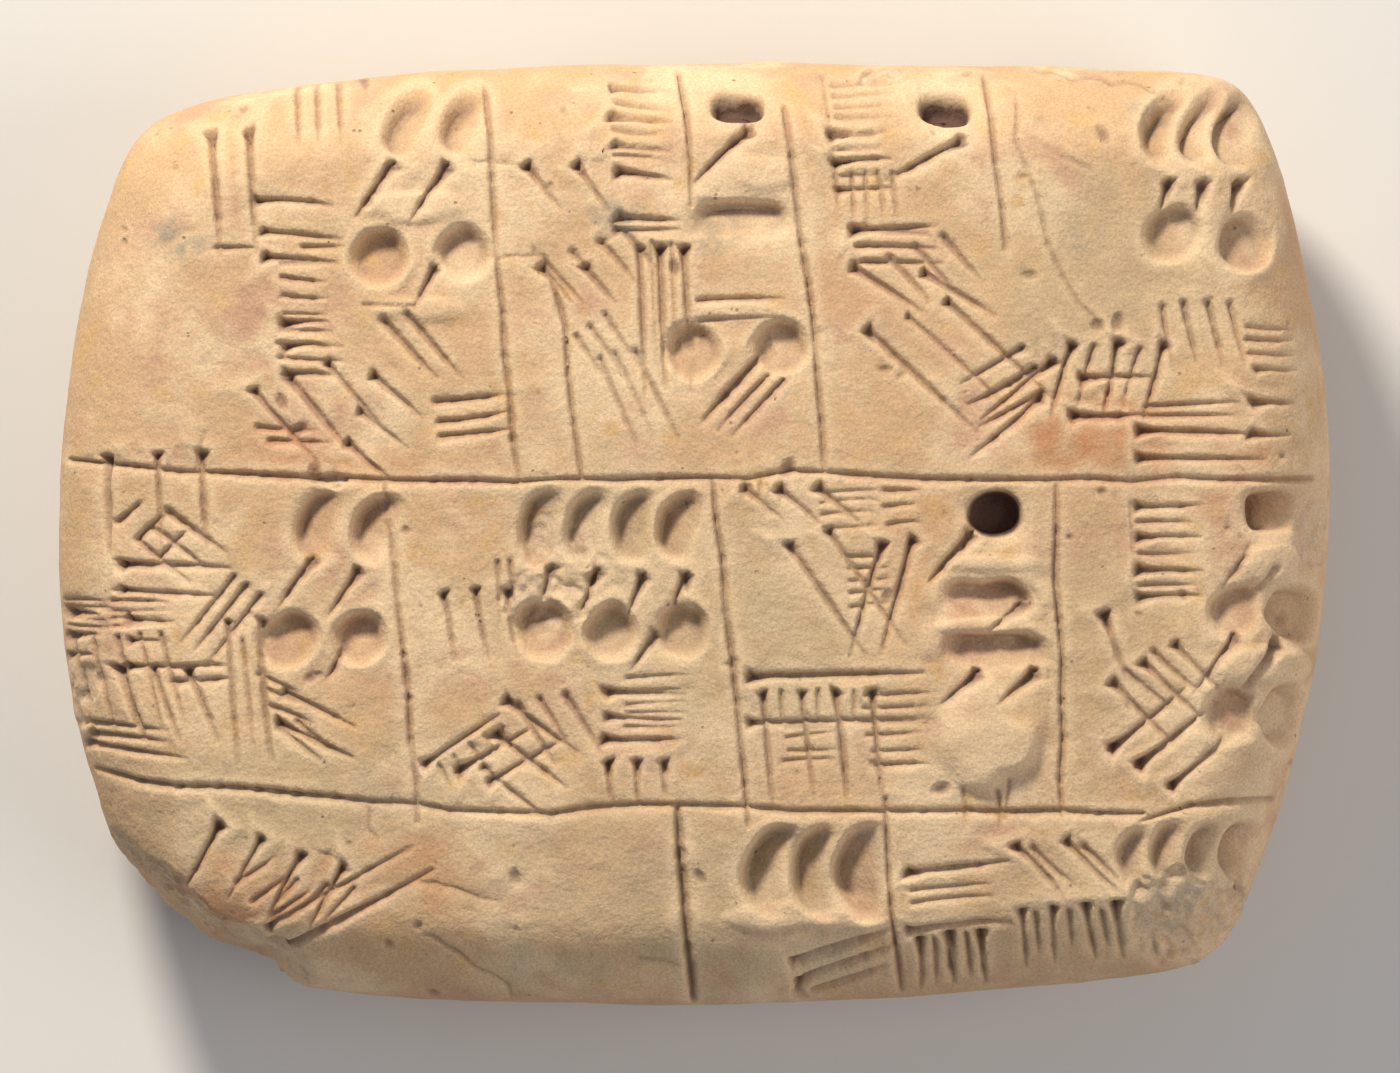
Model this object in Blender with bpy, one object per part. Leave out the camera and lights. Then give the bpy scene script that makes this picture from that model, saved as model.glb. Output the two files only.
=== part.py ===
"""A small clay tablet that lies on its back, with its ruled and pressed side up.

The body is a cushion of clay with bowed sides. Ruled lines part its face into cases, and
the cases hold tally marks pressed with a round stylus and rows of short drawn strokes.

X runs along the tablet, Y across it and Z up. The origin is under the middle, where it rests.
Places on the face are shares of half the length and half the width: 0, 0 is the middle and
1, 1 is the corner of the box around the outline, to the right and away from the reader.
"""
import math

import bmesh
import bpy
from mathutils import Matrix, Vector

# Driving sizes, in metres
LENGTH = 0.0940
WIDTH = 0.0698
THICKNESS = 0.0230
GIRDLE_HEIGHT = 0.0112
EDGE_ROUNDING = 0.0068
FACE_CROWN = 0.0021
BACK_CROWN = 0.0040
REST_FLAT_DEPTH = 0.0012

# How far each side draws in from the box towards its two ends
LEFT_BOW_TOP = 0.0075
LEFT_BOW_BOTTOM = 0.0090
RIGHT_BOW_TOP = 0.0080
RIGHT_BOW_BOTTOM = 0.0081
TOP_BOW_LEFT = 0.0057
TOP_BOW_RIGHT = 0.0010
BOTTOM_BOW_LEFT = 0.0061
BOTTOM_BOW_RIGHT = 0.0035

# Where each side stands out most, as a share of half the width or length
LEFT_BULGE = 0.02
RIGHT_BULGE = 0.10
TOP_BULGE = -0.08
BOTTOM_BULGE = -0.12

# Corner squareness: a larger power gives a tighter corner
CORNER_TOP_RIGHT = 23.0
CORNER_TOP_LEFT = 19.0
CORNER_BOTTOM_LEFT = 15.0
CORNER_BOTTOM_RIGHT = 24.0

# Cells of the body's surface
CELLS_ALONG = 24
CELLS_ACROSS = 18
RIM_ROWS = 6

# The drawing point and the round stylus
LINE_HALF_WIDTH = 0.00042
DEEP_LINE_HALF_WIDTH = 0.00062
STROKE_HALF_WIDTH = 0.00046
TAIL_SHARE = 0.35
WEDGE_HALF_WIDTH = 0.00085
GROOVE_LIFT_SHARE = 0.35
GROOVE_SAG = 0.00005
STYLUS_RADIUS = 0.0024
STYLUS_LEAN = math.radians(24)
CRESCENT_DEPTH = 0.0011
BOWL_RADIUS = 0.0020
BOWL_DEPTH = 0.0009
HOLE_RADIUS = 0.0019
HOLE_DEPTH = 0.0021
SCOOP_LENGTH = 0.0070
SCOOP_WIDTH = 0.0024
SCOOP_DEPTH = 0.0009
ROUND_SIDES = 12
BOWL_SIDES = 10
BOWL_RINGS = 8

CLAY_COLOUR = (0.62, 0.42, 0.26, 1.0)
CLAY_ROUGHNESS = 0.9

# Ruled lines, each from its first end through the points where it turns
ROW_LINES = (
    ((-0.975, 0.155), (-0.87, 0.142), (-0.60, 0.120), (-0.28, 0.112), (0.02, 0.116),
     (0.21, 0.130), (0.36, 0.116), (0.68, 0.114), (0.965, 0.116)),
    ((-0.935, -0.490), (-0.865, -0.520), (-0.62, -0.545), (-0.38, -0.577), (-0.22, -0.586),
     (-0.16, -0.570), (0.0, -0.565), (0.15, -0.579), (0.70, -0.583)),
    ((0.70, -0.602), (0.774, -0.571), (0.90, -0.552)),
)
COLUMN_LINES = (
    ((-0.325, 0.940), (-0.310, 0.647), (-0.294, 0.376), (-0.274, 0.116)),
    ((-0.233, 0.583), (-0.201, 0.435), (-0.186, 0.235), (-0.177, 0.116)),
    ((-0.023, 0.975), (-0.010, 0.880), (-0.002, 0.690)),
    ((0.142, 0.898), (0.164, 0.685), (0.184, 0.452), (0.206, 0.137)),
    ((0.452, 0.960), (0.473, 0.782), (0.486, 0.598)),
    ((-0.482, 0.112), (-0.467, -0.068), (-0.446, -0.345), (-0.428, -0.602)),
    ((0.028, 0.120), (0.046, -0.053), (0.062, -0.271), (0.086, -0.611)),
    ((0.564, 0.108), (0.566, -0.093), (0.575, -0.345), (0.573, -0.592)),
    ((0.297, -0.554), (0.307, -0.767), (0.322, -0.955)),
)
DEEP_LINES = (
    ((-0.028, -0.571), (-0.015, -0.767), (-0.002, -0.975)),
)

# Rows of crescents: place of the first, step to the next, how many, size against the stylus
CRESCENT_ROWS = (
    ((-0.481, 0.869), (0.088, 0.0), 2, 0.90),
    ((0.705, 0.868), (0.057, -0.004), 3, 1.00),
    ((-0.614, 0.021), (0.085, 0.0), 2, 0.95),
    ((-0.271, 0.024), (0.072, 0.0), 4, 0.95),
    ((0.084, -0.698), (0.072, 0.0), 3, 1.15),
    ((0.680, -0.676), (0.058, 0.004), 4, 0.75),
)

# Rows of bowls: place of the first, step to the next, how many
BOWL_ROWS = (
    ((-0.493, 0.586), (0.133, 0.004), 2),
    ((-0.004, 0.387), (0.138, 0.004), 2),
    ((0.743, 0.634), (0.116, -0.019), 2),
    ((-0.636, -0.218), (0.113, 0.004), 2),
    ((-0.236, -0.200), (0.108, 0.0), 3),
    ((0.846, -0.150), (0.088, 0.0), 2),
    ((0.834, -0.370), (0.088, 0.0), 2),
)
HOLES = ((0.067, 0.903), (0.390, 0.898), (0.468, 0.042), (0.903, 0.051))
SCOOPS = ((0.074, 0.660), (0.460, -0.137), (0.470, -0.246))

# Rows of wedges with a broad head: place of the first head, its tail from there, step, count
WEDGE_ROWS = (
    ((-0.473, 0.774), (-0.055, -0.105), (0.086, 0.0), 2),
    ((-0.401, 0.558), (-0.030, -0.080), (0.0, 0.0), 1),
    ((0.086, 0.852), (-0.086, -0.114), (0.0, 0.0), 1),
    ((0.115, 0.385), (-0.094, -0.138), (0.0, 0.0), 1),
    ((0.417, 0.831), (-0.118, -0.080), (0.0, 0.0), 1),
    ((0.738, 0.735), (-0.010, -0.060), (0.056, 0.004), 3),
    ((-0.595, -0.059), (-0.045, -0.095), (0.070, -0.017), 2),
    ((-0.545, -0.230), (-0.038, -0.074), (0.0, 0.0), 1),
    ((-0.222, -0.076), (-0.022, -0.080), (0.070, -0.004), 4),
    ((-0.064, -0.211), (-0.036, -0.074), (0.0, 0.0), 1),
    ((0.432, 0.002), (-0.063, -0.097), (0.0, 0.0), 1),
    ((0.440, -0.290), (-0.052, -0.062), (0.091, 0.0), 2),
)

# Rows of drawn strokes: first stroke's head, its run, step to the next, count
STROKE_ROWS = (
    ((-0.755, 0.845), (0.015, -0.260), (0.060, 0.0), 2),
    ((-0.680, 0.700), (0.120, -0.010), (0.005, -0.060), 3),
    ((-0.640, 0.440), (0.065, 0.000), (0.002, -0.050), 3),
    ((-0.690, 0.300), (0.095, -0.150), (0.060, 0.030), 3),
    ((-0.500, 0.330), (0.075, -0.080), (-0.020, -0.070), 3),
    ((-0.260, 0.770), (0.050, -0.095), (0.075, 0.0), 2),
    ((-0.240, 0.560), (0.045, -0.070), (0.075, 0.0), 2),
    ((-0.130, 0.940), (0.090, -0.012), (0.002, -0.060), 4),
    ((-0.120, 0.665), (0.100, 0.0), (0.0, -0.030), 2),
    ((-0.085, 0.600), (0.010, -0.300), (0.035, 0.0), 3),
    ((0.215, 0.840), (0.090, 0.010), (0.004, -0.060), 3),
    ((0.250, 0.640), (0.130, 0.005), (0.0, -0.060), 1),
    ((0.250, 0.560), (0.110, -0.090), (0.105, -0.010), 2),
    ((0.270, 0.430), (0.170, -0.215), (0.062, 0.030), 3),
    ((0.560, 0.360), (-0.110, -0.120), (-0.020, -0.075), 2),
    ((0.590, 0.400), (-0.030, -0.150), (0.070, 0.0), 3),
    ((0.590, 0.250), (0.110, 0.000), (0.010, 0.080), 2),
    ((0.690, 0.160), (0.190, -0.005), (0.0, 0.055), 2),
    ((0.875, 0.350), (0.060, 0.0), (-0.005, -0.070), 3),
    ((-0.915, 0.165), (0.005, -0.200), (0.075, 0.0), 3),
    ((-0.895, -0.065), (0.170, -0.010), (0.0, -0.052), 2),
    ((-0.980, -0.165), (0.050, 0.0), (0.0, -0.045), 3),
    ((-0.885, -0.175), (0.070, 0.0), (0.0, -0.050), 3),
    ((-0.900, -0.280), (0.045, -0.150), (0.055, 0.0), 3),
    ((-0.950, -0.440), (0.160, -0.030), (0.0, 0.0), 1),
    ((-0.730, -0.180), (0.015, -0.300), (0.055, 0.0), 2),
    ((-0.640, -0.330), (0.110, -0.070), (-0.010, -0.070), 2),
    ((-0.390, -0.120), (0.015, -0.140), (0.050, 0.0), 3),
    ((-0.420, -0.480), (0.120, 0.095), (0.050, -0.020), 3),
    ((-0.290, -0.350), (0.110, -0.110), (-0.020, -0.070), 3),
    ((-0.140, -0.330), (0.120, 0.0), (0.0, -0.050), 3),
    ((-0.130, -0.480), (0.005, -0.080), (0.040, 0.0), 3),
    ((0.080, 0.095), (0.060, -0.070), (0.055, 0.0), 3),
    ((0.150, -0.020), (0.120, -0.240), (0.060, 0.030), 2),
    ((0.345, -0.010), (-0.050, -0.240), (-0.055, -0.010), 2),
    ((0.085, -0.300), (0.270, 0.010), (0.0, -0.100), 2),
    ((0.110, -0.330), (0.015, -0.230), (0.055, 0.0), 4),
    ((0.690, 0.060), (0.100, 0.0), (0.0, -0.065), 4),
    ((0.640, -0.170), (0.025, -0.120), (0.0, 0.0), 1),
    ((0.650, -0.310), (0.100, -0.130), (0.050, 0.040), 3),
    ((0.650, -0.450), (0.120, 0.130), (0.045, -0.040), 3),
    ((-0.740, -0.610), (-0.050, -0.130), (0.065, -0.030), 4),
    ((-0.670, -0.830), (0.230, 0.170), (0.030, -0.040), 2),
    ((0.150, -0.900), (0.150, 0.075), (0.010, -0.050), 2),
    ((0.330, -0.710), (0.160, 0.020), (0.0, -0.120), 2),
    ((0.350, -0.850), (0.008, -0.100), (0.050, 0.005), 3),
    ((0.500, -0.650), (0.080, -0.110), (0.080, 0.010), 2),
    ((0.510, -0.790), (0.010, -0.110), (0.050, 0.005), 4),
)

# Broken corners: the break's two ends seen from above, the height they lie at as a share of
# the thickness, and how many degrees the break leans in from upright
BREAKS = (
    ((-0.948, -0.618), (-0.760, -0.845), 0.42, 15),
    ((-0.790, -0.822), (-0.655, -0.890), 0.42, 13),
    ((-0.680, -0.872), (-0.595, -0.989), 0.42, 16),
    ((0.680, -0.860), (0.810, -0.680), 0.93, 78),
)

# Halvings of the search for the outline, and the share of a step to either side that a
# direction on the face is read from
HALVINGS = 30
FRAME_STEP = 0.01
TINY = 1e-6


def outline_gauge(x, y):
    """Less than 1 inside the outline, 1 on it and more outside."""
    half_length = LENGTH / 2
    half_width = WIDTH / 2
    across = y / half_width
    along = x / half_length
    if x > 0:
        side_bow = RIGHT_BOW_TOP if across > RIGHT_BULGE else RIGHT_BOW_BOTTOM
        side_bow *= (across - RIGHT_BULGE) ** 2
    else:
        side_bow = LEFT_BOW_TOP if across > LEFT_BULGE else LEFT_BOW_BOTTOM
        side_bow *= (across - LEFT_BULGE) ** 2
    if y > 0:
        end_bow = TOP_BOW_RIGHT if along > TOP_BULGE else TOP_BOW_LEFT
        end_bow *= (along - TOP_BULGE) ** 2
    else:
        end_bow = BOTTOM_BOW_RIGHT if along > BOTTOM_BULGE else BOTTOM_BOW_LEFT
        end_bow *= (along - BOTTOM_BULGE) ** 2
    if y > 0:
        power = CORNER_TOP_RIGHT if x > 0 else CORNER_TOP_LEFT
    else:
        power = CORNER_BOTTOM_RIGHT if x > 0 else CORNER_BOTTOM_LEFT
    return (abs(x) / (half_length - side_bow)) ** power + (abs(y) / (half_width - end_bow)) ** power


def outline_radius(bearing):
    """Distance from the middle to the outline, in the given direction."""
    near = 0.0
    far = WIDTH / 2 + LENGTH / 2
    for _ in range(HALVINGS):
        middle = (near + far) / 2
        if outline_gauge(middle * math.cos(bearing), middle * math.sin(bearing)) < 1:
            near = middle
        else:
            far = middle
    return near


def ring_point(bearing, inset):
    """The outline's point in a direction, drawn in by the inset along both axes."""
    radius = outline_radius(bearing)
    return (radius * math.cos(bearing) * (1 - 2 * inset / LENGTH),
            radius * math.sin(bearing) * (1 - 2 * inset / WIDTH))


def pillow(x, y):
    """1 in the middle of the tablet, falling to 0 along the box around it."""
    return (1 - (2 * x / LENGTH) ** 2) * (1 - (2 * y / WIDTH) ** 2)


def height_at(x, y, turn):
    """Height of the surface where the rim has turned this far from level (up is positive)."""
    if turn >= 0:
        edge_rise = THICKNESS - GIRDLE_HEIGHT - FACE_CROWN
        return GIRDLE_HEIGHT + math.sin(turn) * (edge_rise + FACE_CROWN * pillow(x, y))
    back_drop = GIRDLE_HEIGHT + REST_FLAT_DEPTH - BACK_CROWN
    return max(0.0, GIRDLE_HEIGHT + math.sin(turn) * (back_drop + BACK_CROWN * pillow(x, y)))


def inset_of(x, y):
    """How far in from the outline a place on the face lies, up to the edge rounding."""
    near = 0.0
    far = EDGE_ROUNDING
    for _ in range(HALVINGS):
        middle = (near + far) / 2
        stretched_x = x / (1 - 2 * middle / LENGTH)
        stretched_y = y / (1 - 2 * middle / WIDTH)
        if outline_gauge(stretched_x, stretched_y) < 1:
            near = middle
        else:
            far = middle
    return near


def face_point(share_along, share_across):
    """The point of the upper surface above a place given in shares."""
    x = share_along * LENGTH / 2
    y = share_across * WIDTH / 2
    turn = math.acos(max(0.0, 1 - inset_of(x, y) / EDGE_ROUNDING))
    return Vector((x, y, height_at(x, y, turn)))


def face_frame(place):
    """A frame on the face: its X runs along the tablet and its Z is the outward direction."""
    along, across = place
    right = face_point(along + FRAME_STEP, across) - face_point(along - FRAME_STEP, across)
    away = face_point(along, across + FRAME_STEP) - face_point(along, across - FRAME_STEP)
    up = right.cross(away).normalized()
    right.normalize()
    turn = Matrix((right, up.cross(right), up)).transposed().to_4x4()
    return Matrix.Translation(face_point(along, across)) @ turn


def clay_material():
    material = bpy.data.materials.new("clay")
    material.use_nodes = True
    shader = material.node_tree.nodes["Principled BSDF"]
    shader.inputs["Base Color"].default_value = CLAY_COLOUR
    shader.inputs["Roughness"].default_value = CLAY_ROUGHNESS
    shader.inputs["Metallic"].default_value = 0.0
    return material


def tablet_body(collection):
    """A cube, cut into cells and drawn out to the tablet's cushion form."""
    shape = bmesh.new()
    bmesh.ops.create_cube(shape, size=2.0)
    for axis, cells in enumerate((CELLS_ALONG, CELLS_ACROSS, RIM_ROWS)):
        edges = [edge for edge in shape.edges
                 if abs(edge.verts[0].co[axis] - edge.verts[1].co[axis]) > TINY]
        bmesh.ops.subdivide_edges(shape, edges=edges, cuts=cells - 1, use_grid_fill=True)
    for vertex in shape.verts:
        along, across, up = vertex.co
        reach = max(abs(along), abs(across))
        turn = up * math.pi / 2
        if reach < TINY:
            x = y = 0.0
        else:
            inset = EDGE_ROUNDING * (1 - math.cos(turn))
            x, y = ring_point(math.atan2(across * WIDTH, along * LENGTH), inset)
            x *= reach
            y *= reach
        vertex.co = (x, y, height_at(x, y, turn))
    mesh = bpy.data.meshes.new("tablet")
    shape.to_mesh(mesh)
    shape.free()
    mesh.shade_smooth()
    mesh.materials.append(clay_material())
    body = bpy.data.objects.new("tablet", mesh)
    collection.objects.link(body)
    return body


def add_cutter(name, mesh, collection):
    cutter = bpy.data.objects.new(name, mesh)
    cutter.hide_render = True
    cutter.display_type = "WIRE"
    collection.objects.link(cutter)
    return cutter


def groove_stretch(start, end):
    """Points from one place to another, halved until the chords keep close to the surface."""
    first, first_half_width = start
    last, last_half_width = end
    middle = (first + last) / 2
    chord = (face_point(*first) + face_point(*last)) / 2
    if (face_point(*middle) - chord).length < GROOVE_SAG:
        return [start]
    halfway = (middle, (first_half_width + last_half_width) / 2)
    return groove_stretch(start, halfway) + groove_stretch(halfway, end)


def groove_points(places, half_widths):
    """Points on the face and half widths along a groove."""
    ends = [(Vector(place), half_width) for place, half_width in zip(places, half_widths)]
    points = []
    for start, end in zip(ends, ends[1:]):
        points += groove_stretch(start, end)
    return [(face_point(*place), half_width) for place, half_width in points + ends[-1:]]


def groove_cutter(name, grooves, collection):
    """Four-sided tubes along the grooves, on edge, so that each one cuts a V."""
    curve = bpy.data.curves.new(name, "CURVE")
    curve.dimensions = "3D"
    curve.twist_mode = "Z_UP"
    curve.bevel_depth = 1.0
    curve.bevel_resolution = 0
    curve.use_fill_caps = True
    for places, half_widths in grooves:
        points = groove_points(places, half_widths)
        spline = curve.splines.new("POLY")
        spline.points.add(len(points) - 1)
        for target, (place, half_width) in zip(spline.points, points):
            lift = GROOVE_LIFT_SHARE * half_width
            target.co = (place.x, place.y, place.z + lift, 1.0)
            target.radius = half_width * (1 + GROOVE_LIFT_SHARE)
    guide = bpy.data.objects.new(name + "_guide", curve)
    collection.objects.link(guide)
    graph = bpy.context.evaluated_depsgraph_get()
    mesh = bpy.data.meshes.new_from_object(guide.evaluated_get(graph))
    bpy.data.objects.remove(guide)
    shape = bmesh.new()
    shape.from_mesh(mesh)
    bmesh.ops.remove_doubles(shape, verts=shape.verts, dist=TINY)
    bmesh.ops.recalc_face_normals(shape, faces=shape.faces)
    shape.to_mesh(mesh)
    shape.free()
    return add_cutter(name, mesh, collection)


def press_cutter(name, presses, collection):
    """One cutter made of many primitives, each added by its own call."""
    shape = bmesh.new()
    for press in presses:
        press(shape)
    mesh = bpy.data.meshes.new(name)
    shape.to_mesh(mesh)
    shape.free()
    return add_cutter(name, mesh, collection)


def places_in_row(first, step, count):
    return [(first[0] + step[0] * index, first[1] + step[1] * index) for index in range(count)]


def crescent_press(place, size):
    """The stylus's flat end, leaning over so that only the left half of it digs in."""
    def add(shape):
        radius = size * STYLUS_RADIUS
        rise = radius * math.sin(STYLUS_LEAN) - size * CRESCENT_DEPTH
        end = Matrix.Translation((radius / 2, 0, rise)) @ Matrix.Rotation(-STYLUS_LEAN, 4, "Y")
        middle = Matrix.Translation((0, 0, radius))
        bmesh.ops.create_cone(shape, cap_ends=True, segments=ROUND_SIDES, radius1=radius,
                              radius2=radius, depth=2 * radius,
                              matrix=face_frame(place) @ end @ middle)
    return add


def bowl_press(place):
    """A flattened ball, sunk by the bowl's depth."""
    def add(shape):
        rise = (BOWL_RADIUS ** 2 - BOWL_DEPTH ** 2) / (2 * BOWL_DEPTH)
        lift = Matrix.Translation((0, 0, rise))
        bmesh.ops.create_uvsphere(shape, u_segments=BOWL_SIDES, v_segments=BOWL_RINGS,
                                  radius=rise + BOWL_DEPTH, matrix=face_frame(place) @ lift)
    return add


def hole_press(place):
    """The stylus's round end pressed straight down."""
    def add(shape):
        bmesh.ops.create_cone(shape, cap_ends=True, segments=ROUND_SIDES, radius1=HOLE_RADIUS,
                              radius2=HOLE_RADIUS, depth=2 * HOLE_DEPTH, matrix=face_frame(place))
    return add


def scoop_press(place):
    """A long shallow dint across the face."""
    def add(shape):
        scale = Matrix.Diagonal((SCOOP_LENGTH / 2, SCOOP_WIDTH / 2, SCOOP_DEPTH, 1))
        bmesh.ops.create_uvsphere(shape, u_segments=ROUND_SIDES, v_segments=ROUND_SIDES // 2,
                                  radius=1.0, matrix=face_frame(place) @ scale)
    return add


def break_press(entry):
    """A block that knocks off a corner, with its inner face along the break."""
    start, end, height_share, lean = entry
    first = Vector((start[0] * LENGTH / 2, start[1] * WIDTH / 2))
    second = Vector((end[0] * LENGTH / 2, end[1] * WIDTH / 2))
    run = second - first
    middle = (first + second) / 2
    outward_side = 1 if run.x * middle.y - run.y * middle.x > 0 else -1

    def add(shape):
        place = Vector((middle.x, middle.y, height_share * THICKNESS))
        matrix = Matrix.Translation(place)
        matrix = matrix @ Matrix.Rotation(math.atan2(run.y, run.x), 4, "Z")
        matrix = matrix @ Matrix.Rotation(outward_side * math.radians(lean), 4, "X")
        matrix = matrix @ Matrix.Translation((0, outward_side * THICKNESS, 0))
        matrix = matrix @ Matrix.Diagonal((run.length, 2 * THICKNESS, 4 * THICKNESS, 1))
        bmesh.ops.create_cube(shape, size=1.0, matrix=matrix)
    return add


def cut(body, cutter):
    modifier = body.modifiers.new(cutter.name, "BOOLEAN")
    modifier.operation = "DIFFERENCE"
    modifier.object = cutter
    modifier.use_self = True


def tapering(rows, half_width):
    """Straight grooves in rows, each from a broad head to a fine tail."""
    grooves = []
    for head, run, step, count in rows:
        for along, across in places_in_row(head, step, count):
            tail = (along + run[0], across + run[1])
            grooves.append((((along, across), tail), (half_width, half_width * TAIL_SHARE)))
    return grooves


def even(lines, half_width):
    """Grooves of one width along the ruled lines."""
    return [(places, [half_width] * len(places)) for places in lines]


def carve(body, cutters):
    crescents = [(place, row[-1]) for row in CRESCENT_ROWS for place in places_in_row(*row[:-1])]
    bowls = [place for row in BOWL_ROWS for place in places_in_row(*row)]
    columns = even(COLUMN_LINES, LINE_HALF_WIDTH) + even(DEEP_LINES, DEEP_LINE_HALF_WIDTH)
    tools = (
        press_cutter("breaks", [break_press(entry) for entry in BREAKS], cutters),
        press_cutter("scoops", [scoop_press(place) for place in SCOOPS], cutters),
        press_cutter("crescents", [crescent_press(*entry) for entry in crescents], cutters),
        press_cutter("bowls", [bowl_press(place) for place in bowls], cutters),
        press_cutter("holes", [hole_press(place) for place in HOLES], cutters),
        groove_cutter("row_lines", even(ROW_LINES, LINE_HALF_WIDTH), cutters),
        groove_cutter("column_lines", columns, cutters),
        groove_cutter("wedges", tapering(WEDGE_ROWS, WEDGE_HALF_WIDTH), cutters),
        groove_cutter("drawn_strokes", tapering(STROKE_ROWS, STROKE_HALF_WIDTH), cutters),
    )
    for cutter in tools:
        cut(body, cutter)


def new_collection(name):
    collection = bpy.data.collections.new(name)
    bpy.context.scene.collection.children.link(collection)
    return collection


def main():
    for old in list(bpy.data.objects):
        bpy.data.objects.remove(old)
    body = tablet_body(new_collection("cuneiform_tablet"))
    carve(body, new_collection("cutters"))


main()
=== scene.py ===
"""Looks of a small clay tablet: its carved and worn surface, the clay, the light and the camera.

Lengths of the body are in metres, and those of the relief on it in millimetres. Places on the
face, with steps and runs there, are thousandths of half its length and half its width.
"""
import math

import bmesh
import bpy
import numpy as np
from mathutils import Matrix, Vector


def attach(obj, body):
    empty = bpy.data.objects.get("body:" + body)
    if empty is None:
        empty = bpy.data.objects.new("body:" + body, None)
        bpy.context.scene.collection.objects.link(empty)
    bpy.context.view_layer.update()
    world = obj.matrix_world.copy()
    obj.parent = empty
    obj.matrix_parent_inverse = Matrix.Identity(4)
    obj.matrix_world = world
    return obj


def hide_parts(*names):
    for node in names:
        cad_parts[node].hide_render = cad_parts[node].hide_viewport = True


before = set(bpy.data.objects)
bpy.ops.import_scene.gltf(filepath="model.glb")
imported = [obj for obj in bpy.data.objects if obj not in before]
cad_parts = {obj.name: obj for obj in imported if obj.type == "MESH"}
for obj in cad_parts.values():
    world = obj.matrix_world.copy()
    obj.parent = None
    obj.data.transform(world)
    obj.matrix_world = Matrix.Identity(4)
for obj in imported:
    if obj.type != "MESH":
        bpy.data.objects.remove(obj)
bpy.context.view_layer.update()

# The body, with the sizes that its solid has
LENGTH = 0.0940
WIDTH = 0.0698
THICKNESS = 0.0230
GIRDLE_HEIGHT = 0.0112
EDGE_ROUNDING = 0.0068
FACE_CROWN = 0.0021
BACK_CROWN = 0.0040
REST_FLAT_DEPTH = 0.0012
LEFT_BOWS = (0.0075, 0.0090)
RIGHT_BOWS = (0.0080, 0.0081)
TOP_BOWS = (0.0010, 0.0057)
BOTTOM_BOWS = (0.0035, 0.0061)
LEFT_BULGE = 0.02
RIGHT_BULGE = 0.10
TOP_BULGE = -0.08
BOTTOM_BULGE = -0.12
CORNER_TOP_RIGHT = 23.0
CORNER_TOP_LEFT = 19.0
CORNER_BOTTOM_LEFT = 15.0
CORNER_BOTTOM_RIGHT = 24.0
HALVINGS = 40
BEARINGS = 14400
TINY = 1e-6

# Cells of the mesh: coarse ones all round, each cut again on the upper half
COARSE_CELLS = (120, 90, 20)
FINE_CUTS = 6
TRIANGLES = 192000

MM = 0.001
# A thousandth of the face's half length and half width, in millimetres
THOUSANDTHS = np.array((LENGTH / 2, WIDTH / 2)) / MM / 1000

# The relief's grid, in millimetres
GRID_STEP = 0.08
GRID_REACH_X = 48.0
GRID_REACH_Y = 36.0
# Points are read at least this many cells before its end
LAST_CELL = 1.001

# Marks, in millimetres
LINE_HALF_WIDTH = 0.27
LINE_DEPTH = 0.46
DEEP_LINE_HALF_WIDTH = 0.40
DEEP_LINE_DEPTH = 0.75
STROKE_HALF_WIDTH = 0.46
WEDGE_HALF_WIDTH = 0.60
# Round ends pressed in leaning: which way the wall stands, half sizes along that way and across
# it, the depth at the wall's foot, how far the floor runs till it is level with the face, and
# the wall's breadth
CRESCENT = (math.pi - 0.17, 2.3, 2.95, 1.65, 3.2, 0.62)
BOWL = (math.pi / 2 + 0.40, 2.10, 2.15, 1.40, 5.6, 0.75)
RIM_HOLE = (math.pi / 2, 1.20, 2.15, 2.0, 12.0, 0.55)
HOLE = (math.pi / 2 + 0.1, 1.90, 2.25, 2.5, 30.0, 0.55)
LEANING_HOLE = (math.pi + 0.12, 2.1, 1.80, 2.3, 4.3, 0.50)
SCOOP = (math.pi / 2 + 0.03, 1.50, 3.7, 1.35, 3.1, 0.50)
# A crescent's place is that of its wall. Its middle lies to the right of it, by a share of its
# size and a fixed part, and a little below it
CRESCENT_SHIFT = (1.40, 0.6)
CRESCENT_DROP = -0.30

ROW_LINES = (
    ((-975, 155), (-870, 142), (-600, 120), (-280, 112), (20, 116),
     (210, 130), (360, 116), (680, 114), (965, 116)),
    ((-935, -490), (-865, -520), (-620, -545), (-380, -577), (-220, -586),
     (-160, -570), (0, -565), (150, -579), (700, -583)),
    ((700, -602), (774, -571), (900, -552)),
)
COLUMN_LINES = (
    ((-325, 940), (-310, 647), (-294, 376), (-274, 116)),
    ((-233, 583), (-201, 435), (-186, 235), (-177, 116)),
    ((-23, 975), (-10, 880), (-2, 690)),
    ((142, 898), (164, 685), (184, 452), (206, 137)),
    ((452, 960), (473, 782), (486, 598)),
    ((-482, 112), (-467, -68), (-446, -345), (-428, -602)),
    ((28, 120), (46, -53), (62, -271), (86, -611)),
    ((564, 108), (566, -93), (575, -345), (573, -592)),
    ((297, -554), (307, -767), (322, -955)),
)
DEEP_LINES = (
    ((-28, -571), (-15, -767), (-2, -975)),
)

# Rows of crescents: place of the first, step to the next, how many, size against the stylus,
# and how far the stylus was turned
CRESCENT_ROWS = (
    ((-481, 869), (88, 0), 2, 0.90, -0.35),
    ((705, 868), (57, -4), 3, 1.00, -0.25),
    ((-614, 21), (85, 0), 2, 0.95, -0.10),
    ((-271, 24), (72, 0), 4, 0.95, 0.0),
    ((84, -698), (72, 0), 3, 1.15, 0.06),
    ((657, -668), (54.5, 4), 4, 0.78, -0.02),
)

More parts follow.
